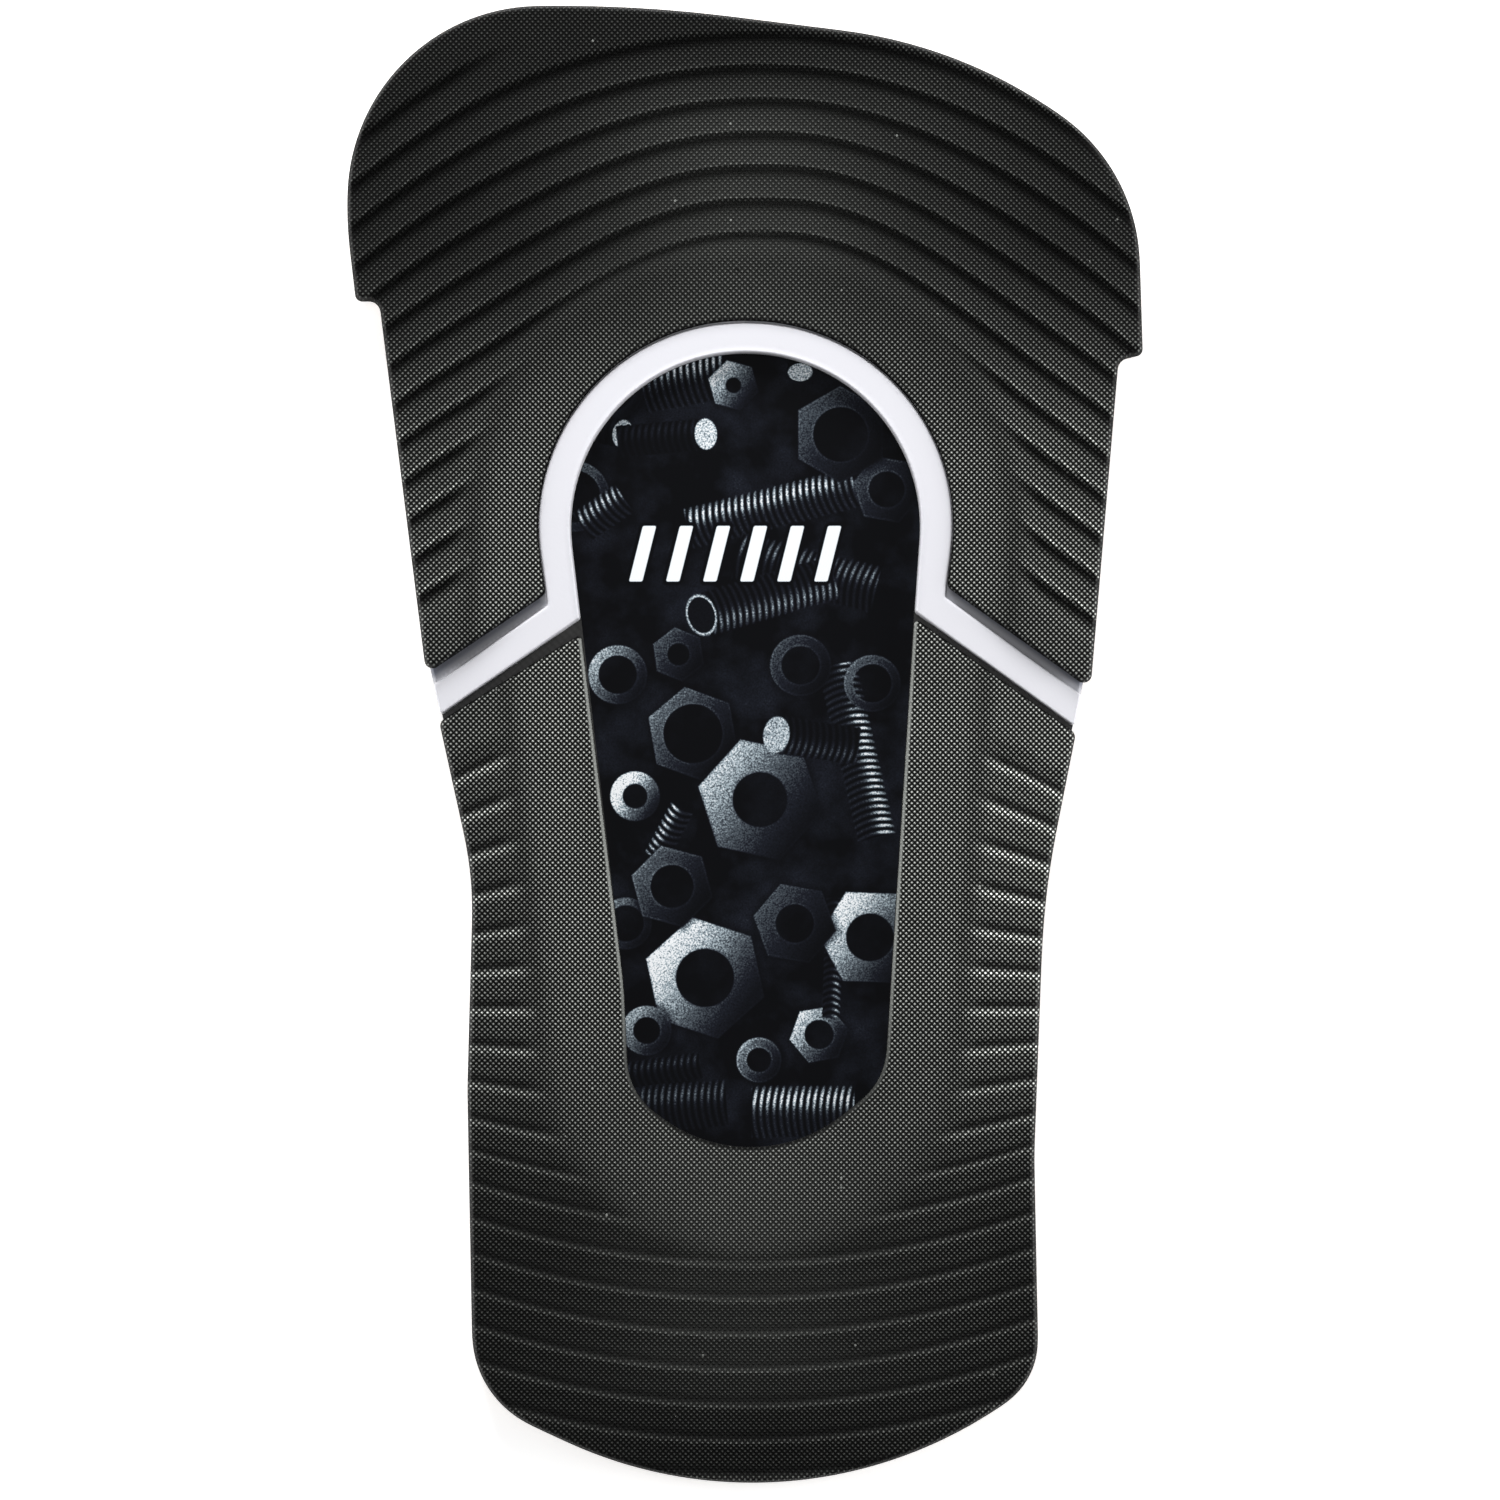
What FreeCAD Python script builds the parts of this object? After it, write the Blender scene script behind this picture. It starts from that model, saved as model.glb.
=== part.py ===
# Snowboard foot pad: two moulded foam pads and a white arch-shaped midsole on a stiff laminated plate,
# with a printed inlay in the keyhole window and four threaded inserts in the plate.
# Frame: +Y to the toe, +X to the right, +Z up, origin under the middle of the plate, on its underside.
import FreeCAD, Part
import math
import os
import Sketcher
from FreeCAD import Vector

# Driving dimensions in mm. Each one is a cell of the sheet, under the same name.
SIZES = {
    # overall
    "overall_length": 255.0,
    "toe_width": 137.4,
    "heel_width": 98.0,
    # plate layers, from the underside up, and the soft layers on it
    "base_sheet_thick": 0.6,
    "bottom_laminate_thick": 0.4,
    "core_thick": 1.8,
    "top_laminate_thick": 0.4,
    "print_thick": 0.4,
    "midsole_base_thick": 1.8,
    "band_rise": 1.8,
    "toe_pad_thick": 4.6,
    "heel_pad_thick": 5.2,
    # how far the plate's and the midsole's sides stand in under the black pads, and the gaps between pieces
    "plate_step": 0.8,
    "midsole_step": 0.5,
    "seam_gap": 0.3,
    "inlay_gap": 0.1,
    # side notches that clear the binding's frame
    "left_notch_depth": 5.5,
    "left_notch_lead": 1.5,
    "left_notch_from_toe": 51.1,
    "right_notch_depth": 4.2,
    "right_notch_fall": 1.0,
    "right_notch_from_toe": 60.3,
    "notch_outer_radius": 1.2,
    "notch_inner_radius": 2.0,
    # toe outline, from the left side round to the right
    "toe_side_drop": 38.5,
    "toe_side_radius": 60.0,
    "toe_left_radius": 33.3,
    "toe_top_from_left": 51.4,
    "toe_top_radius": 235.0,
    "toe_shoulder_from_right": 32.1,
    "toe_shoulder_drop": 6.7,
    "toe_shoulder_radius": 83.0,
    "toe_right_in": 1.0,
    "toe_right_drop": 27.8,
    "toe_right_radius": 32.0,
    # waist, hip and heel outline
    "waist_left_in": 13.1,
    "waist_left_y": 16.2,
    "waist_left_radius": 52.0,
    "waist_right_in": 8.3,
    "waist_right_y": 18.0,
    "waist_right_radius": 40.0,
    "hip_left_in": 2.0,
    "hip_left_y": -22.8,
    "hip_left_radius": 60.0,
    "hip_right_out": 2.7,
    "hip_right_y": -25.8,
    "hip_right_radius": 143.0,
    "heel_side_radius": 72.0,
    "heel_side_left_in": 1.0,
    "heel_side_left_rise": 67.9,
    "heel_side_right_out": 1.0,
    "heel_side_right_rise": 56.4,
    "heel_left_in": 2.0,
    "heel_left_rise": 14.4,
    "heel_left_radius": 17.6,
    "heel_right_out": 1.8,
    "heel_right_rise": 17.3,
    "heel_right_radius": 13.0,
    "heel_end_x": 7.4,
    "heel_end_drop": 11.0,
    "heel_end_radius": 76.5,
    # keyhole window: an arch above two sides that close towards a round foot
    "window_top_y": 67.5,
    "window_top_left_x": -33.8,
    "window_top_right_x": 32.4,
    "window_arch_radius": 30.0,
    "window_side_left_x": -21.0,
    "window_side_left_y": -42.0,
    "window_side_radius": 60.0,
    "window_foot_left_x": -20.2,
    "window_foot_left_y": -60.4,
    "window_foot_right_x": 24.2,
    "window_foot_right_y": -58.3,
    "window_foot_radius": 12.0,
    "window_end_x": 1.6,
    "window_end_y": -76.5,
    "window_end_radius": 25.5,
    # white band round the arch, its necks, and its wings to the sides
    "band_top_y": 72.8,
    "band_top_left_x": -40.9,
    "band_top_right_x": 40.6,
    "band_arch_radius": 35.2,
    "neck_left_x": -34.1,
    "neck_left_y": 24.0,
    "neck_right_x": 34.6,
    "neck_right_y": 25.4,
    "elbow_left_x": -28.4,
    "elbow_left_y": 21.6,
    "elbow_right_x": 29.3,
    "elbow_right_y": 22.7,
    "wing_left_slope": 0.695,
    "wing_right_slope": 0.72,
    "band_corner_radius": 0.6,
    # seams of the black pads along the wings
    "toe_seam_left_rise": 1.9,
    "toe_seam_right_rise": 1.7,
    "toe_seam_left_slope": 0.67,
    "toe_seam_right_slope": 0.714,
    "heel_seam_left_drop": 2.6,
    "heel_seam_right_drop": 0.9,
    "heel_seam_left_slope": 0.62,
    "heel_seam_right_slope": 0.717,
    "pad_corner_radius": 1.4,
    # threaded inserts, seated in the plate from above and open below
    "insert_from_heel_side": 11.0,
    "insert_spacing_y": 140.0,
    "insert_centre_y": -10.0,
    "insert_bore_radius": 2.1,
    "insert_barrel_radius": 3.2,
    "insert_flange_radius": 7.0,
    "insert_flange_thick": 0.8,
    "insert_recess": 0.2,
    "insert_clearance": 0.1,
}

doc = FreeCAD.newDocument("FootPad")
sheet = doc.addObject("Spreadsheet::Sheet", "Sizes")
for row, (alias, value) in enumerate(SIZES.items(), start=1):
    sheet.set(f"A{row}", alias)
    sheet.set(f"B{row}", str(value))
    sheet.setAlias(f"B{row}", alias)
doc.recompute()

# Levels from the underside up, as formulas of the thicknesses.
BASE_FLOOR = "0"
LAMINATE_FLOOR = "base_sheet_thick"
CORE_FLOOR = f"{LAMINATE_FLOOR} + bottom_laminate_thick"
TOP_FLOOR = f"{CORE_FLOOR} + core_thick"
PLATE_TOP = f"{TOP_FLOOR} + top_laminate_thick"
TOE_SEAT = f"{PLATE_TOP} + midsole_base_thick"

# The black pads' sides are the object's outline, so they stand in by nothing.
FULL_WIDTH = "0"

# Two neighbouring round corners may take up this share of the side between them.
SIDE_SHARE = 0.998

# Lines that the outlines are measured from.
TOE_END = "overall_length / 2"
HEEL_END = "0 - overall_length / 2"
TOE_LEFT = "0 - toe_width / 2"
TOE_RIGHT = "toe_width / 2"
HEEL_LEFT = "0 - heel_width / 2"
HEEL_RIGHT = "heel_width / 2"


def cell(formula):
    """The formula with each named size turned into its cell of the sheet."""
    words = formula.replace("(", " ( ").replace(")", " ) ").split()
    named = " ".join(f"Sizes.{word}" if word in SIZES else word for word in words)
    return named.replace("min (", "min(")


# An outline is a list of corners (x, y, radius), all formulas, clockwise as seen from above.
# step moves it inwards.
def toe_corners(step):
    """The outline round the toe, from the left notch to the right notch."""
    left_y = f"{TOE_END} - left_notch_from_toe + {step}"
    right_y = f"{TOE_END} - right_notch_from_toe + {step}"
    return [
        (f"{TOE_LEFT} + left_notch_depth + {step}", left_y, "notch_inner_radius"),
        (f"{TOE_LEFT} + left_notch_lead + {step}", left_y, "notch_outer_radius"),
        (f"{TOE_LEFT} + {step}", f"{TOE_END} - toe_side_drop", "toe_side_radius"),
        (f"{TOE_LEFT} + {step}", f"{TOE_END} - {step}", "toe_left_radius"),
        (f"{TOE_LEFT} + toe_top_from_left", f"{TOE_END} - {step}", "toe_top_radius"),
        (f"{TOE_RIGHT} - toe_shoulder_from_right", f"{TOE_END} - toe_shoulder_drop - {step}",
         "toe_shoulder_radius"),
        (f"{TOE_RIGHT} - toe_right_in - {step}", f"{TOE_END} - toe_right_drop - {step}", "toe_right_radius"),
        (f"{TOE_RIGHT} - {step}", right_y, "notch_outer_radius"),
        (f"{TOE_RIGHT} - right_notch_depth - {step}", f"{right_y} - right_notch_fall", "notch_inner_radius"),
    ]


def waist_left(step):
    return (f"{TOE_LEFT} + waist_left_in + {step}", "waist_left_y", "waist_left_radius")


def waist_right(step):
    return (f"{TOE_RIGHT} - waist_right_in - {step}", "waist_right_y", "waist_right_radius")


def heel_corners(step):
    """The outline round the heel, from the right hip to the left hip."""
    return [
        (f"{HEEL_RIGHT} + hip_right_out - {step}", "hip_right_y", "hip_right_radius"),
        (f"{HEEL_RIGHT} + heel_side_right_out - {step}", f"{HEEL_END} + heel_side_right_rise",
         "heel_side_radius"),
        (f"{HEEL_RIGHT} + heel_right_out - {step}", f"{HEEL_END} + heel_right_rise + {step}",
         "heel_right_radius"),
        ("heel_end_x", f"{HEEL_END} - heel_end_drop + {step}", "heel_end_radius"),
        (f"{HEEL_LEFT} + heel_left_in + {step}", f"{HEEL_END} + heel_left_rise + {step}", "heel_left_radius"),
        (f"{HEEL_LEFT} + heel_side_left_in + {step}", f"{HEEL_END} + heel_side_left_rise",
         "heel_side_radius"),
        (f"{HEEL_LEFT} + hip_left_in + {step}", "hip_left_y", "hip_left_radius"),
    ]


def plate_outline(step):
    return toe_corners(step) + [waist_right(step)] + heel_corners(step) + [waist_left(step)]


def meet(first, second, through, slope):
    """Where the line between two corners crosses the line through a point with this slope."""
    lean = f"(({second[0]}) - ({first[0]})) / (({first[1]}) - ({second[1]}))"
    x = (f"(({first[0]}) + ({lean}) * (({first[1]}) - ({through[1]}) + ({slope}) * ({through[0]})))"
         f" / (1 + ({slope}) * ({lean}))")
    y = f"({through[1]}) + ({slope}) * (({x}) - ({through[0]}))"
    return (x, y)


def window_arch(inset):
    """The top two corners of the window."""
    return [
        (f"window_top_left_x + {inset}", f"window_top_y - {inset}", "window_arch_radius"),
        (f"window_top_right_x - {inset}", f"window_top_y - {inset}", "window_arch_radius"),
    ]


def window_foot(inset):
    """The window below the band, from the right side round its foot to the left side."""
    return [
        (f"window_foot_right_x - {inset}", f"window_foot_right_y + {inset}", "window_foot_radius"),
        ("window_end_x", f"window_end_y + {inset}", "window_end_radius"),
        (f"window_foot_left_x + {inset}", f"window_foot_left_y + {inset}", "window_foot_radius"),
        (f"window_side_left_x + {inset}", "window_side_left_y", "window_side_radius"),
    ]


def wing_ends(step, neck, slope_left, slope_right):
    """Where the lines through two points, left and right, run out to the outline's sides."""
    left = meet(toe_corners(step)[0], waist_left(step), neck[0], slope_left)
    right = meet(toe_corners(step)[-1], waist_right(step), neck[1], f"0 - {slope_right}")
    return left, right


def lower_ends(step, neck, slope_left, slope_right):
    """The same below the waist, where the sides run from the waist to the hips."""
    left = meet(waist_left(step), heel_corners(step)[-1], neck[0], slope_left)
    right = meet(waist_right(step), heel_corners(step)[0], neck[1], f"0 - {slope_right}")
    return left, right


ELBOWS = (("elbow_left_x", "elbow_left_y"), ("elbow_right_x", "elbow_right_y"))
NECKS = (("neck_left_x", "neck_left_y"), ("neck_right_x", "neck_right_y"))


def midsole_outline():
    """The white midsole: all of the toe half above the lower edge of the band's wings."""
    step = "midsole_step"
    left, right = lower_ends(step, ELBOWS, "wing_left_slope", "wing_right_slope")
    return toe_corners(step) + [
        waist_right(step),
        (*right, "band_corner_radius"),
        (*ELBOWS[1], "band_corner_radius"),
        *reversed(window_arch("0")),
        (*ELBOWS[0], "band_corner_radius"),
        (*left, "band_corner_radius"),
        waist_left(step),
    ]


def band_outline():
    """The raised band of the midsole: the arch, its necks and its wings."""
    step = "midsole_step"
    low_left, low_right = lower_ends(step, ELBOWS, "wing_left_slope", "wing_right_slope")
    top_left, top_right = lower_ends(step, NECKS, "wing_left_slope", "wing_right_slope")
    return [
        (*low_left, "band_corner_radius"),
        (*top_left, "band_corner_radius"),
        (*NECKS[0], "band_corner_radius"),
        ("band_top_left_x", "band_top_y", "band_arch_radius"),
        ("band_top_right_x", "band_top_y", "band_arch_radius"),
        (*NECKS[1], "band_corner_radius"),
        (*top_right, "band_corner_radius"),
        (*low_right, "band_corner_radius"),
        (*ELBOWS[1], "band_corner_radius"),
        *reversed(window_arch("0")),
        (*ELBOWS[0], "band_corner_radius"),
    ]


def toe_pad_outline():
    step = FULL_WIDTH
    inner = (("neck_left_x - seam_gap", "neck_left_y + toe_seam_left_rise"),
             ("neck_right_x + seam_gap", "neck_right_y + toe_seam_right_rise"))
    left, right = wing_ends(step, inner, "toe_seam_left_slope", "toe_seam_right_slope")
    return toe_corners(step) + [
        (*right, "pad_corner_radius"),
        (*inner[1], "pad_corner_radius"),
        ("band_top_right_x + seam_gap", "band_top_y + seam_gap", "band_arch_radius + seam_gap"),
        ("band_top_left_x - seam_gap", "band_top_y + seam_gap", "band_arch_radius + seam_gap"),
        (*inner[0], "pad_corner_radius"),
        (*left, "pad_corner_radius"),
    ]


def heel_pad_outline():
    step = FULL_WIDTH
    inner = (("elbow_left_x", "elbow_left_y - heel_seam_left_drop"),
             ("elbow_right_x", "elbow_right_y - heel_seam_right_drop"))
    left, right = lower_ends(step, inner, "heel_seam_left_slope", "heel_seam_right_slope")
    return heel_corners(step) + [
        (*left, "pad_corner_radius"),
        (*inner[0], "band_corner_radius"),
        *reversed(window_foot("0")),
        (*inner[1], "band_corner_radius"),
        (*right, "pad_corner_radius"),
    ]


def window_outline():
    """The whole window, less the inlay's gap. Its sides bend slightly beside the band's elbows."""
    (left_x, left_y), (right_x, right_y) = ELBOWS
    return [
        *window_arch("inlay_gap"),
        (f"{right_x} - inlay_gap", right_y, "window_side_radius"),
        *window_foot("inlay_gap"),
        (f"{left_x} + inlay_gap", left_y, "window_side_radius"),
    ]


def add_sized(sketch, constraint, formula):
    index = sketch.addConstraint(constraint)
    sketch.setExpression(f"Constraints[{index}]", cell(formula))


def new_sketch(body, name, level):
    sketch = body.newObject("Sketcher::SketchObject", name)
    plane = next(item for item in body.Origin.OriginFeatures if item.Role == "XY_Plane")
    sketch.AttachmentSupport = [(plane, "")]
    sketch.MapMode = "FlatFace"
    sketch.setExpression("AttachmentOffset.Base.z", cell(level))
    return sketch


def round_radii(places, radii):
    """The corners' radii, each made smaller where its side is too short for both its ends."""
    count = len(places)
    reaches = []
    for index, corner in enumerate(places):
        half = (places[index - 1] - corner).getAngle(places[(index + 1) % count] - corner) / 2
        reaches.append(radii[index] / math.tan(half))
    scales = [1.0] * count
    for index, corner in enumerate(places):
        following = (index + 1) % count
        room = SIDE_SHARE * corner.distanceToPoint(places[following]) / (reaches[index] + reaches[following])
        scales[index] = min(scales[index], room)
        scales[following] = min(scales[following], room)
    return [radius * scale for radius, scale in zip(radii, scales)]


def corner_arc(back, corner, ahead, radius):
    """The arc that rounds a corner, where it starts and ends, and whether it turns left."""
    to_back = (back - corner).normalize()
    to_ahead = (ahead - corner).normalize()
    half = to_back.getAngle(to_ahead) / 2
    entry = corner + to_back * (radius / math.tan(half))
    leave = corner + to_ahead * (radius / math.tan(half))
    centre = corner + (to_back + to_ahead).normalize() * (radius / math.sin(half))
    turns_left = to_back.cross(to_ahead).z < 0
    first, last = (entry, leave) if turns_left else (leave, entry)
    start = math.atan2(first.y - centre.y, first.x - centre.x)
    end = math.atan2(last.y - centre.y, last.x - centre.x)
    arc = Part.ArcOfCircle(Part.Circle(centre, Vector(0, 0, 1), radius), start, end)
    return arc, entry, leave, turns_left


def draw_outline(sketch, corners):
    """Draw lines with round corners. The corner points carry the sizes, and the arcs stay tangent."""
    points = []
    for x, y, _radius in corners:
        point = sketch.addGeometry(Part.Point(Vector(0, 0, 0)), True)
        add_sized(sketch, Sketcher.Constraint("DistanceX", -1, 1, point, 1, 1.0), x)
        add_sized(sketch, Sketcher.Constraint("DistanceY", -1, 1, point, 1, 1.0), y)
        points.append(point)
    doc.recompute()
    places = [sketch.getPoint(point, 1) for point in points]
    count = len(corners)
    wanted = [value_of(radius) for _x, _y, radius in corners]
    radii = round_radii(places, wanted)
    rounds = [corner_arc(places[index - 1], corner, places[(index + 1) % count], radii[index])
              for index, corner in enumerate(places)]
    arcs = [sketch.addGeometry(arc) for arc, _entry, _leave, _turns_left in rounds]
    lines = [sketch.addGeometry(Part.LineSegment(rounds[index][2], rounds[(index + 1) % count][1]))
             for index in range(count)]
    for index, (_arc, _entry, _leave, turns_left) in enumerate(rounds):
        before = lines[index - 1]
        after = lines[index]
        arc = arcs[index]
        entry_end, leave_end = (1, 2) if turns_left else (2, 1)
        sketch.addConstraint(Sketcher.Constraint("Tangent", before, 2, arc, entry_end))
        sketch.addConstraint(Sketcher.Constraint("Tangent", arc, leave_end, after, 1))
        sketch.addConstraint(Sketcher.Constraint("PointOnObject", points[index], 1, before))
        sketch.addConstraint(Sketcher.Constraint("PointOnObject", points[index], 1, after))
        formula = corners[index][2]
        if radii[index] < wanted[index]:
            formula = f"min({formula} ; {radii[index]:.6f})"
        add_sized(sketch, Sketcher.Constraint("Radius", arc, radii[index]), formula)


def value_of(formula):
    """The formula's present value."""
    return float(sheet.evalExpression(cell(formula)))


def new_body(name):
    body = doc.addObject("PartDesign::Body", name)
    body.Label = name
    return body


def add_pad(body, name, corners, level, thick):
    """Pad a round-cornered outline upwards from a level."""
    sketch = new_sketch(body, f"{name}_sketch", level)
    draw_outline(sketch, corners)
    pad = body.newObject("PartDesign::Pad", name)
    pad.Profile = sketch
    pad.setExpression("Length", cell(thick))
    body.Tip = pad
    doc.recompute()
    return pad


def insert_places(rows):
    """Formulas of the inserts' centres in the rows asked for: 1 is the toe row, -1 the heel row."""
    from_middle = f"({HEEL_RIGHT} - insert_from_heel_side)"
    return [(f"{side} * {from_middle}", f"insert_centre_y + {end} * insert_spacing_y / 2")
            for end in rows for side in (-1, 1)]


def add_insert_holes(body, name, top, depth, radius, rows):
    """Cut round holes for the inserts down from a level, and make sure that they do cut."""
    before = body.Shape.Volume
    sketch = new_sketch(body, f"{name}_sketch", top)
    for x, y in insert_places(rows):
        centre = Vector(value_of(x), value_of(y), 0)
        circle = sketch.addGeometry(Part.Circle(centre, Vector(0, 0, 1), value_of(radius)))
        add_sized(sketch, Sketcher.Constraint("DistanceX", -1, 1, circle, 3, centre.x), x)
        add_sized(sketch, Sketcher.Constraint("DistanceY", -1, 1, circle, 3, centre.y), y)
        add_sized(sketch, Sketcher.Constraint("Radius", circle, value_of(radius)), radius)
    pocket = body.newObject("PartDesign::Pocket", name)
    pocket.Profile = sketch
    pocket.setExpression("Length", cell(depth))
    body.Tip = pocket
    doc.recompute()
    wanted = len(rows) * 2 * math.pi * value_of(radius) ** 2 * value_of(depth)
    if abs(before - body.Shape.Volume - wanted) > 0.01 * wanted:
        raise RuntimeError(f"{name} doesn't cut what it should")


def plate_layer(name, floor, thick):
    body = new_body(name)
    add_pad(body, f"{name}_pad", plate_outline("plate_step"), floor, thick)
    add_insert_holes(body, f"{name}_holes", f"{floor} + {thick}", thick,
                     "insert_barrel_radius + insert_clearance", (1, -1))
    return body


def flange_pockets(body, name, floor, rows):
    depth = "insert_flange_thick + insert_clearance"
    add_insert_holes(body, name, f"{floor} + {depth}", depth, "insert_flange_radius + insert_clearance", rows)


def make_midsole():
    body = new_body("midsole")
    add_pad(body, "midsole_base", midsole_outline(), PLATE_TOP, "midsole_base_thick")
    add_pad(body, "midsole_band", band_outline(), TOE_SEAT, "band_rise")
    flange_pockets(body, "midsole_flange_pockets", PLATE_TOP, (1,))
    return body


def make_toe_pad():
    body = new_body("toe_pad")
    add_pad(body, "toe_pad_block", toe_pad_outline(), TOE_SEAT, "toe_pad_thick")
    return body


def make_heel_pad():
    body = new_body("heel_pad")
    add_pad(body, "heel_pad_block", heel_pad_outline(), PLATE_TOP, "heel_pad_thick")
    flange_pockets(body, "heel_pad_flange_pockets", PLATE_TOP, (-1,))
    return body


def make_print_sheet():
    body = new_body("print_sheet")
    add_pad(body, "print_sheet_pad", window_outline(), PLATE_TOP, "print_thick")
    return body


def add_cylinder(name, radius, floor, height, place):
    cylinder = doc.addObject("Part::Cylinder", name)
    cylinder.setExpression("Radius", cell(radius))
    cylinder.setExpression("Height", cell(height))
    cylinder.setExpression("Placement.Base.x", cell(place[0]))
    cylinder.setExpression("Placement.Base.y", cell(place[1]))
    cylinder.setExpression("Placement.Base.z", cell(floor))
    return cylinder


def make_inserts():
    """Four flanged inserts as one group of separate solids, each with a through bore."""
    inserts = []
    for number, place in enumerate(insert_places((1, -1)), start=1):
        barrel = add_cylinder(f"barrel_{number}", "insert_barrel_radius", "insert_recess",
                              f"{PLATE_TOP} - insert_recess", place)
        flange = add_cylinder(f"flange_{number}", "insert_flange_radius", PLATE_TOP, "insert_flange_thick",
                              place)
        solid = doc.addObject("Part::Fuse", f"insert_solid_{number}")
        solid.Base = barrel
        solid.Tool = flange
        bore = add_cylinder(f"bore_{number}", "insert_bore_radius", "insert_recess",
                            f"{PLATE_TOP} - insert_recess + insert_flange_thick", place)
        insert = doc.addObject("Part::Cut", f"insert_{number}")
        insert.Base = solid
        insert.Tool = bore
        inserts.append(insert)
    group = doc.addObject("Part::Compound", "threaded_inserts")
    group.Label = "threaded_inserts"
    group.Links = inserts
    doc.recompute()
    return group


pieces = [
    plate_layer("base_sheet", BASE_FLOOR, "base_sheet_thick"),
    plate_layer("bottom_laminate", LAMINATE_FLOOR, "bottom_laminate_thick"),
    plate_layer("core", CORE_FLOOR, "core_thick"),
    plate_layer("top_laminate", TOP_FLOOR, "top_laminate_thick"),
    make_inserts(),
    make_print_sheet(),
    make_midsole(),
    make_toe_pad(),
    make_heel_pad(),
]

for item in doc.Objects:
    if "Invalid" in item.State or "Error" in item.State:
        raise RuntimeError(f"{item.Name} failed: {item.State}")
os.makedirs("parts", exist_ok=True)
for piece in pieces:
    if piece.Shape.isNull() or not piece.Shape.isValid():
        raise RuntimeError(f"{piece.Label} has no valid shape")
    piece.Shape.exportStep(f"parts/{piece.Label}.step")
    box = piece.Shape.BoundBox
    print(f"{piece.Label}: {len(piece.Shape.Solids)} solid, {piece.Shape.Volume / 1000:.2f} cm3, "
          f"x {box.XMin:.2f} {box.XMax:.2f} y {box.YMin:.2f} {box.YMax:.2f} z {box.ZMin:.2f} {box.ZMax:.2f}")
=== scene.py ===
import math

import bmesh
import bpy
import numpy as np
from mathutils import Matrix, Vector, geometry, kdtree


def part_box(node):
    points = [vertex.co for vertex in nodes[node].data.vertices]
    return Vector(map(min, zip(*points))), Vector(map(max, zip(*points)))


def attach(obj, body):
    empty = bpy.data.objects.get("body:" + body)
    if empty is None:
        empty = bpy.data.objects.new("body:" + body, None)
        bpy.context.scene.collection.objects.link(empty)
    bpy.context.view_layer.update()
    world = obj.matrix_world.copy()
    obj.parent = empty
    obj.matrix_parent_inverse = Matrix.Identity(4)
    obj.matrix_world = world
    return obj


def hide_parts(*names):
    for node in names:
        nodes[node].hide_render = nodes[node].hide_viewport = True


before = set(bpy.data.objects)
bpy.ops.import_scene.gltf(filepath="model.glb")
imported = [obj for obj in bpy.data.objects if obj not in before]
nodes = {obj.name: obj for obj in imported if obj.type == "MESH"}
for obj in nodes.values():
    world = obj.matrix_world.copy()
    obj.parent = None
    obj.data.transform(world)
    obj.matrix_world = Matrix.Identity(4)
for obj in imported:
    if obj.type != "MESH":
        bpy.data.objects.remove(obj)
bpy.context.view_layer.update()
bpy.ops.object.select_all(action="DESELECT")
mm = 0.001


# outlines and surfaces of the foam pieces, in mm

def levelOf(node, top=True):
    # a CAD node's top or underside
    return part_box(node)[1 if top else 0].z / mm


def outlineOf(node, level):
    # the outer edge of a CAD node's flat faces at one height
    mesh = bmesh.new()
    mesh.from_mesh(nodes[node].data)
    bmesh.ops.remove_doubles(mesh, verts=mesh.verts, dist=1e-6)
    flat = {f for f in mesh.faces
            if abs(f.normal.z) > 0.99 and abs(f.calc_center_median().z / mm - level) < 0.01}
    joined = {}
    for edge in mesh.edges:
        if sum(f in flat for f in edge.link_faces) == 1:
            for one, other in (edge.verts, reversed(edge.verts)):
                joined.setdefault(one, []).append(other)
    start = max(joined, key=lambda v: v.co.y)
    path, last, here = [start], None, start
    while True:
        ahead = next(v for v in joined[here] if v is not last)
        if ahead is start:
            break
        path.append(ahead)
        last, here = here, ahead
    outline = np.array([(v.co.x / mm, v.co.y / mm) for v in path])
    mesh.free()
    area = np.sum(outline[:, 0] * np.roll(outline[:, 1], -1) - outline[:, 1] * np.roll(outline[:, 0], -1))
    return outline if area > 0 else outline[::-1]


smoothing = {
    "passes": 14,
    "reach": 1.2,         # how far to each side a bend is measured
    "tightTurn": 0.28,    # sharper corners than this stay as they are
    "creaseAngle": 66,    # degrees, above which an edge is shaded sharp
}


def evenOutline(outline, spacing):
    # the outline in even steps, with its long bends smoothed and its small corners kept
    closed = np.vstack([outline, outline[:1]])
    along = np.concatenate([[0], np.cumsum(np.hypot(*np.diff(closed, axis=0).T))])
    count = int(along[-1] / spacing)
    at = np.arange(count) * along[-1] / count
    even = np.column_stack([np.interp(at, along, closed[:, axis]) for axis in (0, 1)])
    reach = max(1, round(smoothing["reach"] / spacing))
    back, fore = even - np.roll(even, reach, 0), np.roll(even, -reach, 0) - even
    turn = np.abs(np.arctan2(back[:, 0] * fore[:, 1] - back[:, 1] * fore[:, 0], (back * fore).sum(1)))
    tight = np.max([np.roll(turn > smoothing["tightTurn"], n) for n in range(-reach, reach + 1)], axis=0)
    give = np.where(tight, 0.0, 0.5)[:, None]
    for _ in range(smoothing["passes"]):
        even += give * ((np.roll(even, 1, 0) + np.roll(even, -1, 0)) / 2 - even)
    return even


def treeOf(outline):
    tree = kdtree.KDTree(len(outline))
    for n, (x, y) in enumerate(outline):
        tree.insert((x, y, 0), n)
    tree.balance()
    return tree


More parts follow.
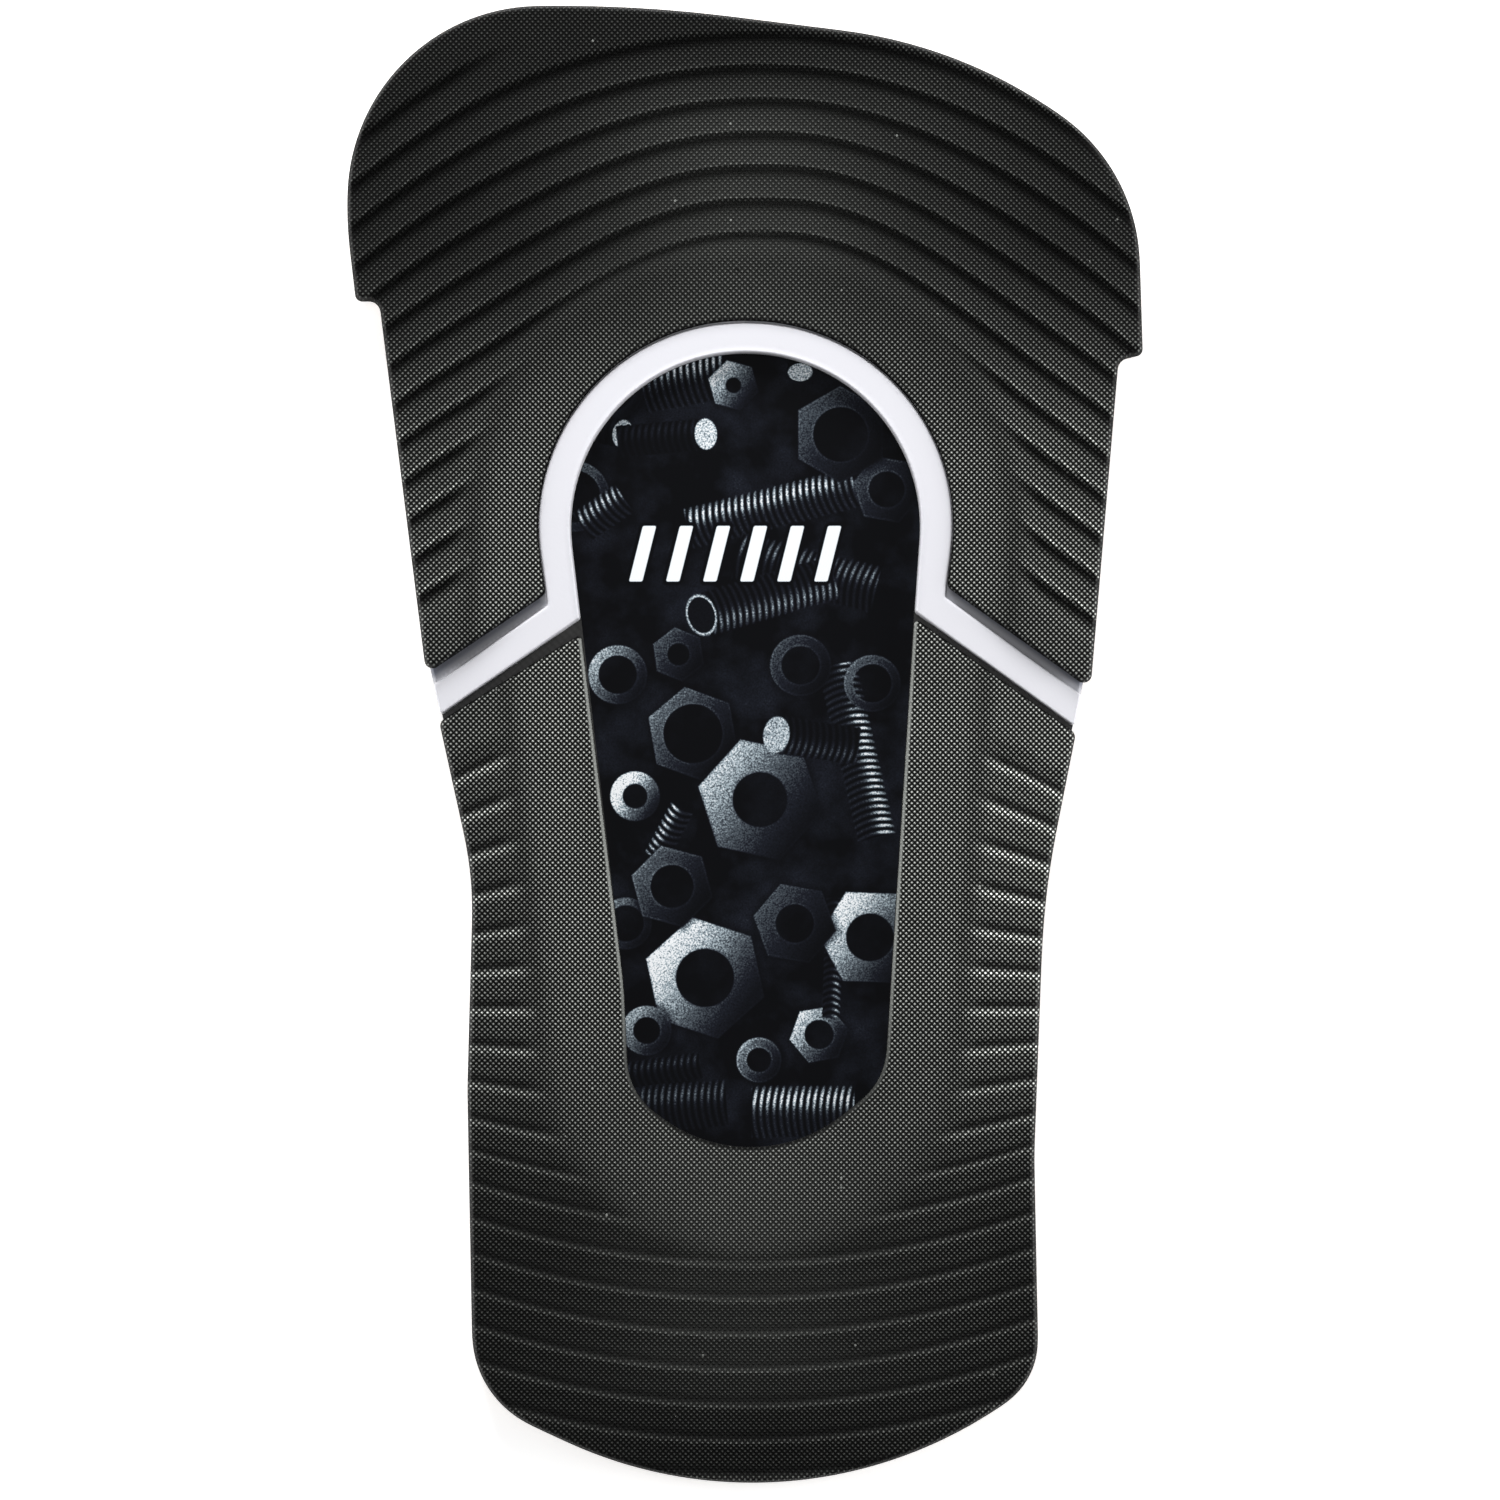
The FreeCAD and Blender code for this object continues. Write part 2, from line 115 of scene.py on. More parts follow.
def nearest(points, outline):
    # how far each point is from the outline, and the number of the outline's nearest step
    tree = treeOf(outline)
    steps = np.array([tree.find((x, y, 0))[1] for x, y in points])
    distances = np.full(len(points), 1e9)
    for side in (-1, 0):
        a = outline[(steps + side) % len(outline)]
        b = outline[(steps + side + 1) % len(outline)]
        share = ((points - a) * (b - a)).sum(1) / ((b - a) ** 2).sum(1)
        foot = a + np.clip(share, 0, 1)[:, None] * (b - a)
        distances = np.minimum(distances, np.hypot(*(points - foot).T))
    return distances, steps


def within(points, outline):
    # which points are inside the outline
    ahead = np.roll(outline, -1, 0)
    inside = np.zeros(len(points), bool)
    x, y = points.T
    for a, b in zip(outline, ahead):
        if a[1] != b[1]:
            crossed = (a[1] > y) != (b[1] > y)
            inside ^= crossed & (x < a[0] + (y - a[1]) * (b[0] - a[0]) / (b[1] - a[1]))
    return inside


def gridWithin(outline, spacing):
    # staggered rows of points inside the outline
    low, high = outline.min(0), outline.max(0)
    ahead = np.roll(outline, -1, 0)
    rows = []
    rowStep = spacing * 0.866    # rows of even triangles
    for n, y in enumerate(np.arange(low[1] + spacing / 3, high[1], rowStep)):
        crossed = (outline[:, 1] > y) != (ahead[:, 1] > y)
        a, b = outline[crossed], ahead[crossed]
        edges = np.sort(a[:, 0] + (y - a[:, 1]) * (b - a)[:, 0] / (b - a)[:, 1])
        x = np.arange(low[0] + (n % 2) * spacing / 2, high[0], spacing)
        x = x[np.searchsorted(edges, x) % 2 == 1]
        rows.append(np.column_stack([x, np.full(len(x), y)]))
    return np.vstack(rows)


def ringsWithin(outline, depths):
    # copies of the outline's points moved inwards by each depth, except where a corner is too tight
    along = np.roll(outline, -1, 0) - np.roll(outline, 1, 0)
    inward = np.column_stack([-along[:, 1], along[:, 0]]) / np.hypot(*along.T)[:, None]
    slack = 0.04
    rings = []
    for depth in depths:
        ring = outline + inward * depth
        rings.append(ring[nearest(ring, outline)[0] > depth - slack])
    return np.vstack(rings)


def ease(value, low, high):
    # 0 below low, 1 above high, smooth between
    share = np.clip((value - low) / (high - low), 0, 1)
    return share * share * (3 - 2 * share)


def softRamp(value, softness):
    # 0 for negative values and value itself for positive ones, with a rounded knee
    return softness * np.logaddexp(0, value / softness)


def sheetMesh(name, outline, points, heights, floor, attributes):
    # a closed foam body: a shaped top on the outline, over a flat floor
    places = np.vstack([outline, points])
    edge = [(n, (n + 1) % len(outline)) for n in range(len(outline))]
    made = geometry.delaunay_2d_cdt([Vector(p) for p in places], edge, [], 1, 1e-6)
    flat = geometry.delaunay_2d_cdt([Vector(p) for p in outline], edge, [], 1, 1e-6)
    origin = [old[0] for old in made[3]]
    height = heights[origin]
    verts = [(v.x * mm, v.y * mm, z * mm) for v, z in zip(made[0], height)]
    onEdge = {old: new for new, old in enumerate(origin) if old < len(outline)}
    faces = [tuple(f) for f in made[2]]
    under = {}
    for old, new in onEdge.items():
        under[old] = len(verts)
        verts.append((verts[new][0], verts[new][1], floor * mm))
    for a, b in edge:
        faces.append((onEdge[b], onEdge[a], under[a], under[b]))
    for f in flat[2]:
        faces.append(tuple(under[flat[3][corner][0]] for corner in reversed(f)))
    mesh = bpy.data.meshes.new(name)
    mesh.from_pydata(verts, [], faces)
    mesh.validate()
    for label, values in attributes.items():
        layer = mesh.attributes.new(label, "FLOAT", "POINT")
        padded = np.concatenate([values[origin], np.zeros(len(verts) - len(origin))])
        layer.data.foreach_set("value", padded.astype(np.float32))
    piece = bpy.data.objects.new(name, mesh)
    bpy.context.scene.collection.objects.link(piece)
    bpy.context.view_layer.objects.active = piece
    piece.select_set(True)
    bpy.ops.object.shade_smooth_by_angle(angle=math.radians(smoothing["creaseAngle"]))
    piece.select_set(False)
    return piece


def edgeShape(depth, top, floor, draft, radius):
    # the height near an edge: a leaning wall, then a rounded rim up to the top surface
    wall = floor + (top - radius - floor) * np.clip(depth / draft, 0, 1)
    over = np.clip(depth - draft, 0, radius)
    rim = top - radius + np.sqrt(np.maximum(radius ** 2 - (radius - over) ** 2, 0))
    return np.where(depth < draft, wall, rim)


plateEdge = evenOutline(outlineOf("base_sheet", levelOf("base_sheet")), 0.5)
bandEdge = evenOutline(outlineOf("midsole", levelOf("midsole")), 0.25)
inlayEdge = evenOutline(outlineOf("print_sheet", levelOf("print_sheet")), 0.4)


ribShape = {
    "depth": 0.95,        # from a rib's crest down to the foot of the next
    "steepHalf": 0.09,    # half of the steep face, as a share of the pitch
    "cove": 1.7,          # above 1, the foot is a rounded hollow and the crest stays crisp
    "footWidth": 0.38,    # the painted shade along a foot, as a share of the pitch
    "toeHighlightWidth": 0.085, "heelHighlightWidth": 0.12,       # the widths of the painted highlights along the crests, in the same shares
    "outlineStep": 0.42,
    "ringDepths": (0.1, 0.22, 0.36, 0.5, 0.64, 0.8, 1.0, 1.3),
    "grid": 0.5, "gridDepth": 1.5,
    "snap": 0.27,         # points nearer than this to a crest or foot move onto it
    "nubRadius": 0.45,
    "nubRise": 0.3,
    "nubCorners": 8,
    "plateReach": 1.6,    # the outline's parts this near the plate's edge are the outer side
    "edgeReach": 0.6,     # the same for the window's edge and the band's edge
    "wallFoot": 0.3,      # where the leaning wall starts above the underside
    # lipFade: where the painted highlight along the window's lip fades out towards the heel
    "rimFade": (0.0, 0.55), "windowRimFade": (0.25, 0.75), "lipFade": (-68, -30),
    "creaseKnee": 0.8,
    "fadeFrom": 0.8, "fadeTo": 0.3,           # the last rib fades out between these shares of a pitch past it
}
# where the painted sheen of the points changes on both pads
pointSheenZones = {
    "innerFrom": -6.0, "innerTo": 8.0,        # distances inside the crease
    # where painted light brightens the right side
    "rightFrom": 10, "rightTo": 40,
    # where a painted sheen lifts the middle near the toe and heel
    "middleWidth": 26, "middleFrom": -121, "middleTo": -104,
    # a painted shade along the crease
    "paintedCreaseShade": 0.4, "creaseWidth": 1.8,
}
toePad = {
    "axisX": 3.0,             # the ribs' apex
    "apexY": 116.7,           # the first rib that crosses the pad from side to side
    "apexPitch": 5.75,
    "leftCurve": 0.0055, "leftSpread": 1.45,
    "rightCurve": 0.0064, "rightSpread": 1.67,
    "spreadFrom": 5.0, "spreadTo": 52.0,
    "plainFrom": -52.0, "plainTo": -36.0,     # the ribs before it end between these
    "lastRib": 11, "ribEnds": (-1.0, 5.0),    # the ribs run out over these distances outside the crease
    "nubX": -1.2, "lastNubbed": 8,
    "creaseRadius": 46.6, "creaseSide": 0.7, "creaseTurn": 20,
    "archY": 37.4, "archX": -0.2, "archRadius": 35.8,
    "crestHeight": 8.9, "toeRise": 0.65, "riseFrom": 78.0, "riseTo": 122.0,
    "rimHeight": 7.3,
    # the points' painted sheen outside and inside the crease, with painted light on the right and a painted
    # sheen in the middle
    "dimY": 88.0, "paleY": 34.0,
    "outerDim": 0.068, "outerGain": 0.34, "rightLightGain": 0.4,
    "innerDim": 0.14, "innerGain": 0.62, "middleSheenGain": 0.04,
}
heelPad = {
    "axisX": 0.0,
    "halfWidth": 50.0,
    "firstY": -80.93, "pitch": 6.12,
    "smileSlope": 0.343,
    "fanSlope": 0.085, "fanTurn": 6.1, "fanKnee": 0.03,
    "waistDrop": 1.5, "dropFrom": 1, "dropTo": 3.2,     # how far the side ribs leave the even pitch,
    "waistLift": 3.0, "liftFrom": 8, "liftTo": 13,      # and the ribs between which they start to
    "lastRib": -12, "ribEnds": (-1.0, 4.5),
    "nubX": 2.9, "lastNubbed": 6,
    "creaseX": 0.9, "creaseY": -51.9, "creaseRadius": 35.8,
    "creaseFlareLeft": 0.105, "creaseFlareRight": 0.075,
    "crestHeight": 7.75, "heelRise": 0.6, "riseFrom": 60.0, "riseTo": 118.0,
    "rimDrop": 0.105,
    # the points' painted sheen outside and inside the crease, with painted light on the right and a painted
    # sheen in the middle
    "dimY": 92.0, "paleY": 32.0,
    "outerDim": 0.09, "outerGain": 0.40, "rightLightGain": 0.6,
    "innerDim": 0.25, "innerGain": 0.52, "middleSheenGain": 0.02,
}


def toeRib(x, y):
    # the rib's number, counted from the toe: whole at the middle of each steep face
    s = toePad
    across = np.abs(x - s["axisX"])
    left = x < s["axisX"]
    drop = np.where(left, s["leftCurve"], s["rightCurve"]) * across ** 2
    spread = np.where(left, s["leftSpread"], s["rightSpread"]) * ease(across, s["spreadFrom"], s["spreadTo"])
    return 1 + (s["apexY"] - drop - y) / (s["apexPitch"] + spread)


def heelRib(x, y):
    # the same for the heel, counted towards the heel from the first rib that crosses the pad
    s = heelPad
    belly = s["halfWidth"] / 2 * (1 - ((x - s["axisX"]) / s["halfWidth"]) ** 2)
    number = (s["firstY"] - y) / s["pitch"]
    rounds, kept, taken = 14, 0.35, 0.65    # each round moves part of the way, so that it settles
    for _ in range(rounds):
        fan = s["fanSlope"] * (number + s["fanTurn"])
        slope = s["smileSlope"] - softRamp(s["smileSlope"] - fan, s["fanKnee"])
        lift = s["waistLift"] * ease(-number, s["liftFrom"], s["liftTo"])
        moved = lift - s["waistDrop"] * ease(-number, s["dropFrom"], s["dropTo"])
        number = kept * number + taken * (s["firstY"] + moved - y - slope * belly) / s["pitch"]
    return number


def ribShares(number, outwards):
    # the place within a rib from one steep face to the next, and the place along its gentle side
    half = ribShape["steepHalf"]
    share = number - np.floor(number)
    share = share if outwards < 0 else 1 - share
    return half, share, np.clip((share - half) / (1 - 2 * half), 0, 1)


def ribHeight(number, outwards):
    # 1 on a crest and 0 at a foot; each steep face looks towards the window
    half, share, gentle = ribShares(number, outwards)
    steep = np.where(share < half, 0.5 - share / (2 * half), 0.5 + (1 - share) / (2 * half))
    rise = np.where((share < half) | (share > 1 - half), steep, gentle)
    return rise ** ribShape["cove"]


def ribMarks(number, outwards):
    # the painted shade at each foot and the painted highlight along each crest
    half, share, gentle = ribShares(number, outwards)
    paintedFootShade = np.maximum(1 - ease(gentle, 0.02, ribShape["footWidth"]), ease(share, 1 - half, 1))
    width = ribShape["toeHighlightWidth"] if outwards < 0 else ribShape["heelHighlightWidth"]
    away = share - (1 - half)
    crestHighlight = np.exp(-((away - np.round(away)) / width) ** 2)
    return paintedFootShade * (1 - crestHighlight), crestHighlight


def toeCrease(x, y):
    # distance inside the crease that runs round the arch and down beside it
    s = toePad
    dx, dy = x - s["archX"], y - s["archY"]
    beside = np.abs(dx + s["creaseSide"] * ease(-dy, 0, s["creaseTurn"]))
    return s["creaseRadius"] - np.where(dy > 0, np.hypot(dx, dy), beside)


def heelCrease(x, y):
    s = heelPad
    dx, dy = x - s["creaseX"], y - s["creaseY"]
    flare = np.where(dx < 0, s["creaseFlareLeft"], s["creaseFlareRight"]) * np.maximum(dy, 0)
    return s["creaseRadius"] + flare - np.where(dy < 0, np.hypot(dx, dy), np.abs(dx))


def toeTop(x, y):
    # the top's height, the painted shade at the feet, and the painted highlight along the crests
    s = toePad
    inside = toeCrease(x, y)
    number = toeRib(x, y)
    crest = s["crestHeight"] + s["toeRise"] * ease(y, s["riseFrom"], s["riseTo"])
    slope = (s["crestHeight"] - s["rimHeight"]) / (s["creaseRadius"] - s["archRadius"])
    plain = ease(-number, 0.08, 0.16) * ease(x, s["plainFrom"], s["plainTo"])
    plain = np.maximum(plain, ease(-number, 1.08, 1.16))
    ribbed = ease(-inside, *s["ribEnds"]) * (1 - plain)
    ribbed = ribbed * ease(-number, -s["lastRib"] - ribShape["fadeFrom"], -s["lastRib"] - ribShape["fadeTo"])
    valleys = (1 - ribHeight(number, -1)) * ribbed * ribShape["depth"]
    top = crest - slope * softRamp(inside, ribShape["creaseKnee"]) - valleys
    paintedFootShade, crestHighlight = ribMarks(number, -1)
    return top, paintedFootShade * ribbed, crestHighlight * ribbed


def heelTop(x, y):
    s = heelPad
    inside = heelCrease(x, y)
    crest = s["crestHeight"] + s["heelRise"] * ease(-y, s["riseFrom"], s["riseTo"])
    number = heelRib(x, y)
    ribbed = ease(-inside, *s["ribEnds"])
    ribbed = ribbed * ease(number, s["lastRib"] - ribShape["fadeFrom"], s["lastRib"] - ribShape["fadeTo"])
    valleys = (1 - ribHeight(number, 1)) * ribbed * ribShape["depth"]
    top = crest - s["rimDrop"] * softRamp(inside, ribShape["creaseKnee"]) - valleys
    paintedFootShade, crestHighlight = ribMarks(number, 1)
    return top, paintedFootShade * ribbed, crestHighlight * ribbed


def paintedPointSheens(x, y, inside, shape):
    # how pale the moulded points are painted, a painted sheen: darkest at the toe and heel, palest inside the
    # crease at the waist
    waist = ease(-np.abs(y), -shape["dimY"], -shape["paleY"])
    z = pointSheenZones
    inner = ease(inside, z["innerFrom"], z["innerTo"])
    # painted light on the right side
    lightFromRight = 1 + shape["rightLightGain"] * ease(x, z["rightFrom"], z["rightTo"])
    outerTone = (shape["outerDim"] + shape["outerGain"] * waist) * lightFromRight
    # a painted sheen in the middle near the toe and heel
    middleSheen = np.exp(-(x / z["middleWidth"]) ** 2) * (1 - waist)
    middleSheen = middleSheen * ease(-np.abs(y), z["middleFrom"], z["middleTo"])
    tone = outerTone + inner * (shape["innerDim"] + shape["innerGain"] * waist - outerTone)
    # a painted shade along the crease
    creaseShading = z["paintedCreaseShade"] * waist * np.exp(-(inside / z["creaseWidth"]) ** 2)
    tone = tone * (1 - creaseShading) + shape["middleSheenGain"] * middleSheen
    # the last value sets how strong the painted highlight along the crests is
    return tone, middleSheen, 0.5 + 0.5 * waist


def snapToRibs(points, ribOf):
    # moves points that are close to a crest or foot line onto it
    x, y = points.T
    number = ribOf(x, y)
    small = 0.01
    slope = np.column_stack([(ribOf(x + small, y) - number) / small, (ribOf(x, y + small) - number) / small])
    steepness = np.hypot(*slope.T)
    share = number - np.round(number)
    goal = np.round(number) + np.where(share < 0, -1, 1) * ribShape["steepHalf"]
    away = (goal - number) / steepness
    move = np.where(np.abs(away) < ribShape["snap"], away, 0)
    return points + slope / steepness[:, None] * move[:, None]


def addNubs(outline, ribOf, shape):
    # the middles of the small nubs, one on each rib's steep face, and the points that shape them
    column = np.arange(-130, 130, 0.05)
    numbers = ribOf(np.full(len(column), shape["nubX"]), column)
    nubs = np.array([(shape["nubX"], column[np.argmin(np.abs(numbers - n))])
                     for n in range(shape["lastNubbed"])])
    nubs = nubs[within(nubs, outline)]
    turns = np.linspace(0, 2 * math.pi, ribShape["nubCorners"] + 1)[:-1]
    close = [nubs + np.array([math.cos(t), math.sin(t)]) * r * ribShape["nubRadius"]
             for r in (0.5, 1.0) for t in turns]
    return nubs, close


def blackPad(name, ribOf, topOf, creaseOf, shape, edges):
    # one moulded pad on its CAD outline
    r = ribShape
    floor = levelOf(name, top=False)
    outline = evenOutline(outlineOf(name, floor), r["outlineStep"])
    toPlate = nearest(outline, plateEdge)[0]
    toInlay = nearest(outline, inlayEdge)[0]
    toBand = nearest(outline, bandEdge)[0]
    # the kinds of edge are 0 at the outer side, 1 at the seam, 2 at the window and 3 at the arch
    kinds = np.where(toInlay < r["edgeReach"], 2, np.where(toBand < r["edgeReach"], 3, 1))
    kinds = np.where(toPlate < r["plateReach"], 0, kinds)
    drafts = np.array([edge[0] for edge in edges])[kinds]
    radii = np.array([edge[1] for edge in edges])[kinds]
    for _ in range(3):
        drafts = (np.roll(drafts, 1) + drafts + np.roll(drafts, -1)) / 3
        radii = (np.roll(radii, 1) + radii + np.roll(radii, -1)) / 3
    rings = ringsWithin(outline, r["ringDepths"])
    grid = gridWithin(outline, r["grid"])
    grid = grid[nearest(grid, outline)[0] > r["gridDepth"]]
    grid = snapToRibs(grid, ribOf)
    nubs, close = addNubs(outline, ribOf, shape)
    points = np.vstack([rings, grid, nubs, *close])
    x, y = np.vstack([outline, points]).T
    depth, steps = nearest(np.column_stack([x, y]), outline)
    depth[:len(outline)] = 0
    top, paintedFootShade, crest = topOf(x, y)
    away = np.min(np.hypot(x[:, None] - nubs[:, 0], y[:, None] - nubs[:, 1]), axis=1)
    top = top + r["nubRise"] * np.clip(1 - (away / r["nubRadius"]) ** 2, 0, 1)
    heights = edgeShape(depth, top, floor + r["wallFoot"], drafts[steps], radii[steps])
    atWindow = kinds[steps] == 2
    onRim = 1 - np.where(atWindow, ease(depth, *r["windowRimFade"]), ease(depth, *r["rimFade"]))
    tone, middleSheen, shine = paintedPointSheens(x, y, creaseOf(x, y), shape)
    # a painted highlight along the window's rounded rim, fading out towards the heel
    lip = onRim * atWindow * ease(y, *r["lipFade"])
    # the feet carry a painted shade and the crests a painted highlight, passed to the material as attributes
    attributes = {"paintedPointSheen": tone, "middleSheen": middleSheen, "crest": crest * shine, "rim": onRim, "windowLipHighlight": lip,
                  "paintedFootShade": paintedFootShade}
    piece = sheetMesh(f"{name}_foam", outline, points, heights, floor, attributes)
    print(f"{piece.name}: {len(piece.data.polygons)} faces")
    return piece


# wall lean and rim radius at the outer side, the seam, the window and the arch
toeFoam = blackPad("toe_pad", toeRib, toeTop, toeCrease, toePad,
                   ((0.6, 0.55), (0.3, 0.45), (0.2, 0.5), (0.2, 0.4)))
heelFoam = blackPad("heel_pad", heelRib, heelTop, heelCrease, heelPad,
                    ((0.6, 0.55), (0.25, 0.4), (0.2, 0.45), (0.4, 0.5)))


midsoleShape = {
    "slabTop": 5.0,
    "sideLean": 0.35, "sideRim": 0.25, "sideFoot": 0.3,
    "bandWall": 0.1, "bandRim": 0.4,
    "bandSideRim": 0.3, "bandSideFoot": 0.4,
    "lipWidth": 1.0, "lipRise": 0.12,
    "outlineStep": 0.35, "fineGrid": 0.45, "coarseGrid": 2.5,
    "fineReach": 3.0, "coarseReach": 3.2,     # how far from the band the grids go
    "bandRings": (0.0, 0.1, 0.18, 0.28, 0.4, 0.52), "bandGap": 0.62,
    "sideRings": (0.18, 0.35, 0.6),
    "besideGap": 0.25, "rimGap": 0.05, "sideGap": 0.08,     # points nearer than these to an edge are left out
    "touch": 0.03,
    "grooveShade": 0.45, "grooveFrom": 0.4, "grooveTo": 1.6,
    "wingFrom": 57, "wingTo": 66,             # the groove's shade fades out at the wings' ends
}


def whiteMidsole():
    # a thin slab under the toe pad, with a raised band round the window and along both wings of the seam
    s = midsoleShape
    floor = levelOf("midsole", top=False)
    bandTop = levelOf("midsole") - s["lipRise"]
    outline = evenOutline(outlineOf("midsole", floor), s["outlineStep"])
    fine = gridWithin(outline, s["fineGrid"])
    toBand = nearest(fine, bandEdge)[0]
    inBand = within(fine, bandEdge)
    beside = ~inBand & (toBand < s["fineReach"]) & (toBand > s["besideGap"])
    fine = fine[(inBand & (toBand > s["bandGap"])) | beside]
    coarse = gridWithin(outline, s["coarseGrid"])
    coarse = coarse[~within(coarse, bandEdge) & (nearest(coarse, bandEdge)[0] > s["coarseReach"])]
    rim = ringsWithin(bandEdge, s["bandRings"])
    rim = rim[within(rim, outline)]
    rim = rim[nearest(rim, outline)[0] > s["rimGap"]]
    inner = np.vstack([rim, fine, coarse])
    inner = inner[nearest(inner, outline)[0] > s["sideGap"]]
    rings = ringsWithin(outline, s["sideRings"])
    rings = rings[nearest(rings, bandEdge)[0] > s["rimGap"]]
    everywhere = np.vstack([outline, rings, inner])
    depth, _ = nearest(everywhere, outline)
    depth[:len(outline)] = 0
    toBand, _ = nearest(everywhere, bandEdge)
    onBand = within(everywhere, bandEdge)
    onBand |= (toBand < s["touch"]) & (depth < s["touch"])
    x = everywhere[:, 0]
    toInlay = nearest(everywhere, inlayEdge)[0]
    lip = s["lipRise"] * ease(-toInlay, -s["lipWidth"], -s["lipWidth"] / 2)
    band = edgeShape(np.where(onBand, toBand, 0), bandTop + lip, s["slabTop"], s["bandWall"], s["bandRim"])
    bandSide = edgeShape(depth, band, floor + s["bandSideFoot"], s["bandWall"], s["bandSideRim"])
    slabTop = np.full(len(x), s["slabTop"])
    slab = edgeShape(depth, slabTop, floor + s["sideFoot"], s["sideLean"], s["sideRim"])
    heights = np.minimum(np.where(onBand, bandSide, slab), levelOf("midsole"))
    # painted shade on the groove's floor, darkest next to the toe pad, fading out at the wings' ends
    shade = s["grooveShade"] + (1 - s["grooveShade"]) * ease(toBand, s["grooveFrom"], s["grooveTo"])
    grooveShadeMask = (1 - onBand) * shade * (1 - ease(np.abs(x), s["wingFrom"], s["wingTo"]))
    piece = sheetMesh("midsole_foam", outline, everywhere[len(outline):], heights, floor, {"paintedGrooveShade": grooveShadeMask})
    print(f"{piece.name}: {len(piece.data.polygons)} faces")
    return piece


midsoleFoam = whiteMidsole()

foamPieces = (
    (toeFoam, "toe_pad", "black_foam", 0.95),
    (heelFoam, "heel_pad", "black_foam", 0.95),
    (midsoleFoam, "midsole", "white_foam", 1.0),
)
for piece, node, slot, fill in foamPieces:
    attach(piece, "root")
    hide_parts(node)


def calc(tree, operation, *values, clamp=False):
    node = tree.nodes.new("ShaderNodeMath")
    node.operation = operation
    node.use_clamp = clamp
    for socket, value in zip(node.inputs, values):
        if isinstance(value, (int, float)):
            socket.default_value = value
        else:
            tree.links.new(value, socket)
    return node.outputs[0]


def newGroup(name, inputs, outputs):
    tree = bpy.data.node_groups.new(name, "ShaderNodeTree")
    for label, kind, value in inputs:
        socket = tree.interface.new_socket(label, in_out="INPUT", socket_type=f"NodeSocket{kind}")
        if value is not None:
            socket.default_value = value
    for label, kind in outputs:
        tree.interface.new_socket(label, in_out="OUTPUT", socket_type=f"NodeSocket{kind}")
    return tree, tree.nodes.new("NodeGroupInput").outputs, tree.nodes.new("NodeGroupOutput").inputs


def place(tree, group, **values):
    # puts a group in a tree and sets or links its inputs, whose names have no spaces
    node = tree.nodes.new("ShaderNodeGroup")
    node.node_tree = group
    for label, value in values.items():
        if isinstance(value, bpy.types.NodeSocket):
            tree.links.new(value, node.inputs[label])
        else:
            node.inputs[label].default_value = value
    return node.outputs


def over(tree, under, tone, mask):
    # lays one tone over another where the mask is 1
    node = tree.nodes.new("ShaderNodeMix")
    tree.links.new(mask, node.inputs["Factor"])
    for socket, value in (("A", under), ("B", tone)):
        if isinstance(value, (int, float)):
            node.inputs[socket].default_value = value
        else:
            tree.links.new(value, node.inputs[socket])
    return node.outputs["Result"]


def ramp(tree, value, stops):
    node = tree.nodes.new("ShaderNodeValToRGB")
    while len(node.color_ramp.elements) < len(stops):
        node.color_ramp.elements.new(0.5)
    for element, (position, colour) in zip(node.color_ramp.elements, stops):
        element.position = position
        element.color = (*colour, 1)
    tree.links.new(value, node.inputs[0])
    return node.outputs["Color"]


def noise(tree, vector, scale, detail=2.0, roughness=0.5):
    node = tree.nodes.new("ShaderNodeTexNoise")
    node.inputs["Scale"].default_value = scale
    node.inputs["Detail"].default_value = detail
    node.inputs["Roughness"].default_value = roughness
    tree.links.new(vector, node.inputs["Vector"])
    return node.outputs["Fac"]


def newMaterial(name, roughness, **sockets):
    material = bpy.data.materials.new(name)
    material.use_nodes = True
    tree = material.node_tree
    shader = tree.nodes["Principled BSDF"]
    shader.inputs["Roughness"].default_value = roughness
    for label, value in sockets.items():
        shader.inputs[label.replace("_", " ")].default_value = value
    position = tree.nodes.new("ShaderNodeTexCoord").outputs["Object"]
    return material, tree, shader, position


def bump(tree, shader, height, strength, distance):
    node = tree.nodes.new("ShaderNodeBump")
    node.inputs["Strength"].default_value = strength
    node.inputs["Distance"].default_value = distance
    tree.links.new(height, node.inputs["Height"])
    tree.links.new(node.outputs["Normal"], shader.inputs["Normal"])


def attribute(tree, name):
    node = tree.nodes.new("ShaderNodeAttribute")
    node.attribute_name = name
    return node.outputs["Fac"]


def paint(objectOrNode, material):
    slots = objectOrNode.material_slots
    if len(slots):
        for slot in slots:
            slot.link = "OBJECT"
            slot.material = material
    else:
        objectOrNode.data.materials.append(material)


def makeGrain():
    # fine grain and slow blotches that several finishes share
    tree, given, result = newGroup("fineGrain", [("Position", "Vector", None), ("GrainSize", "Float", 0.4)],
                                   [("Grain", "Float"), ("Blotch", "Float")])
    scaled = tree.nodes.new("ShaderNodeVectorMath")
    scaled.operation = "SCALE"
    tree.links.new(given["Position"], scaled.inputs[0])
    tree.links.new(calc(tree, "DIVIDE", 1000.0, given["GrainSize"]), scaled.inputs["Scale"])
    tree.links.new(noise(tree, scaled.outputs[0], 1.0, 3.0, 0.6), result["Grain"])
    tree.links.new(noise(tree, given["Position"], 60.0, 2.0), result["Blotch"])
    return tree


speckLook = {"scale": 420.0, "radius": 0.09, "rarity": 0.94}    # tiny pale specks between the points


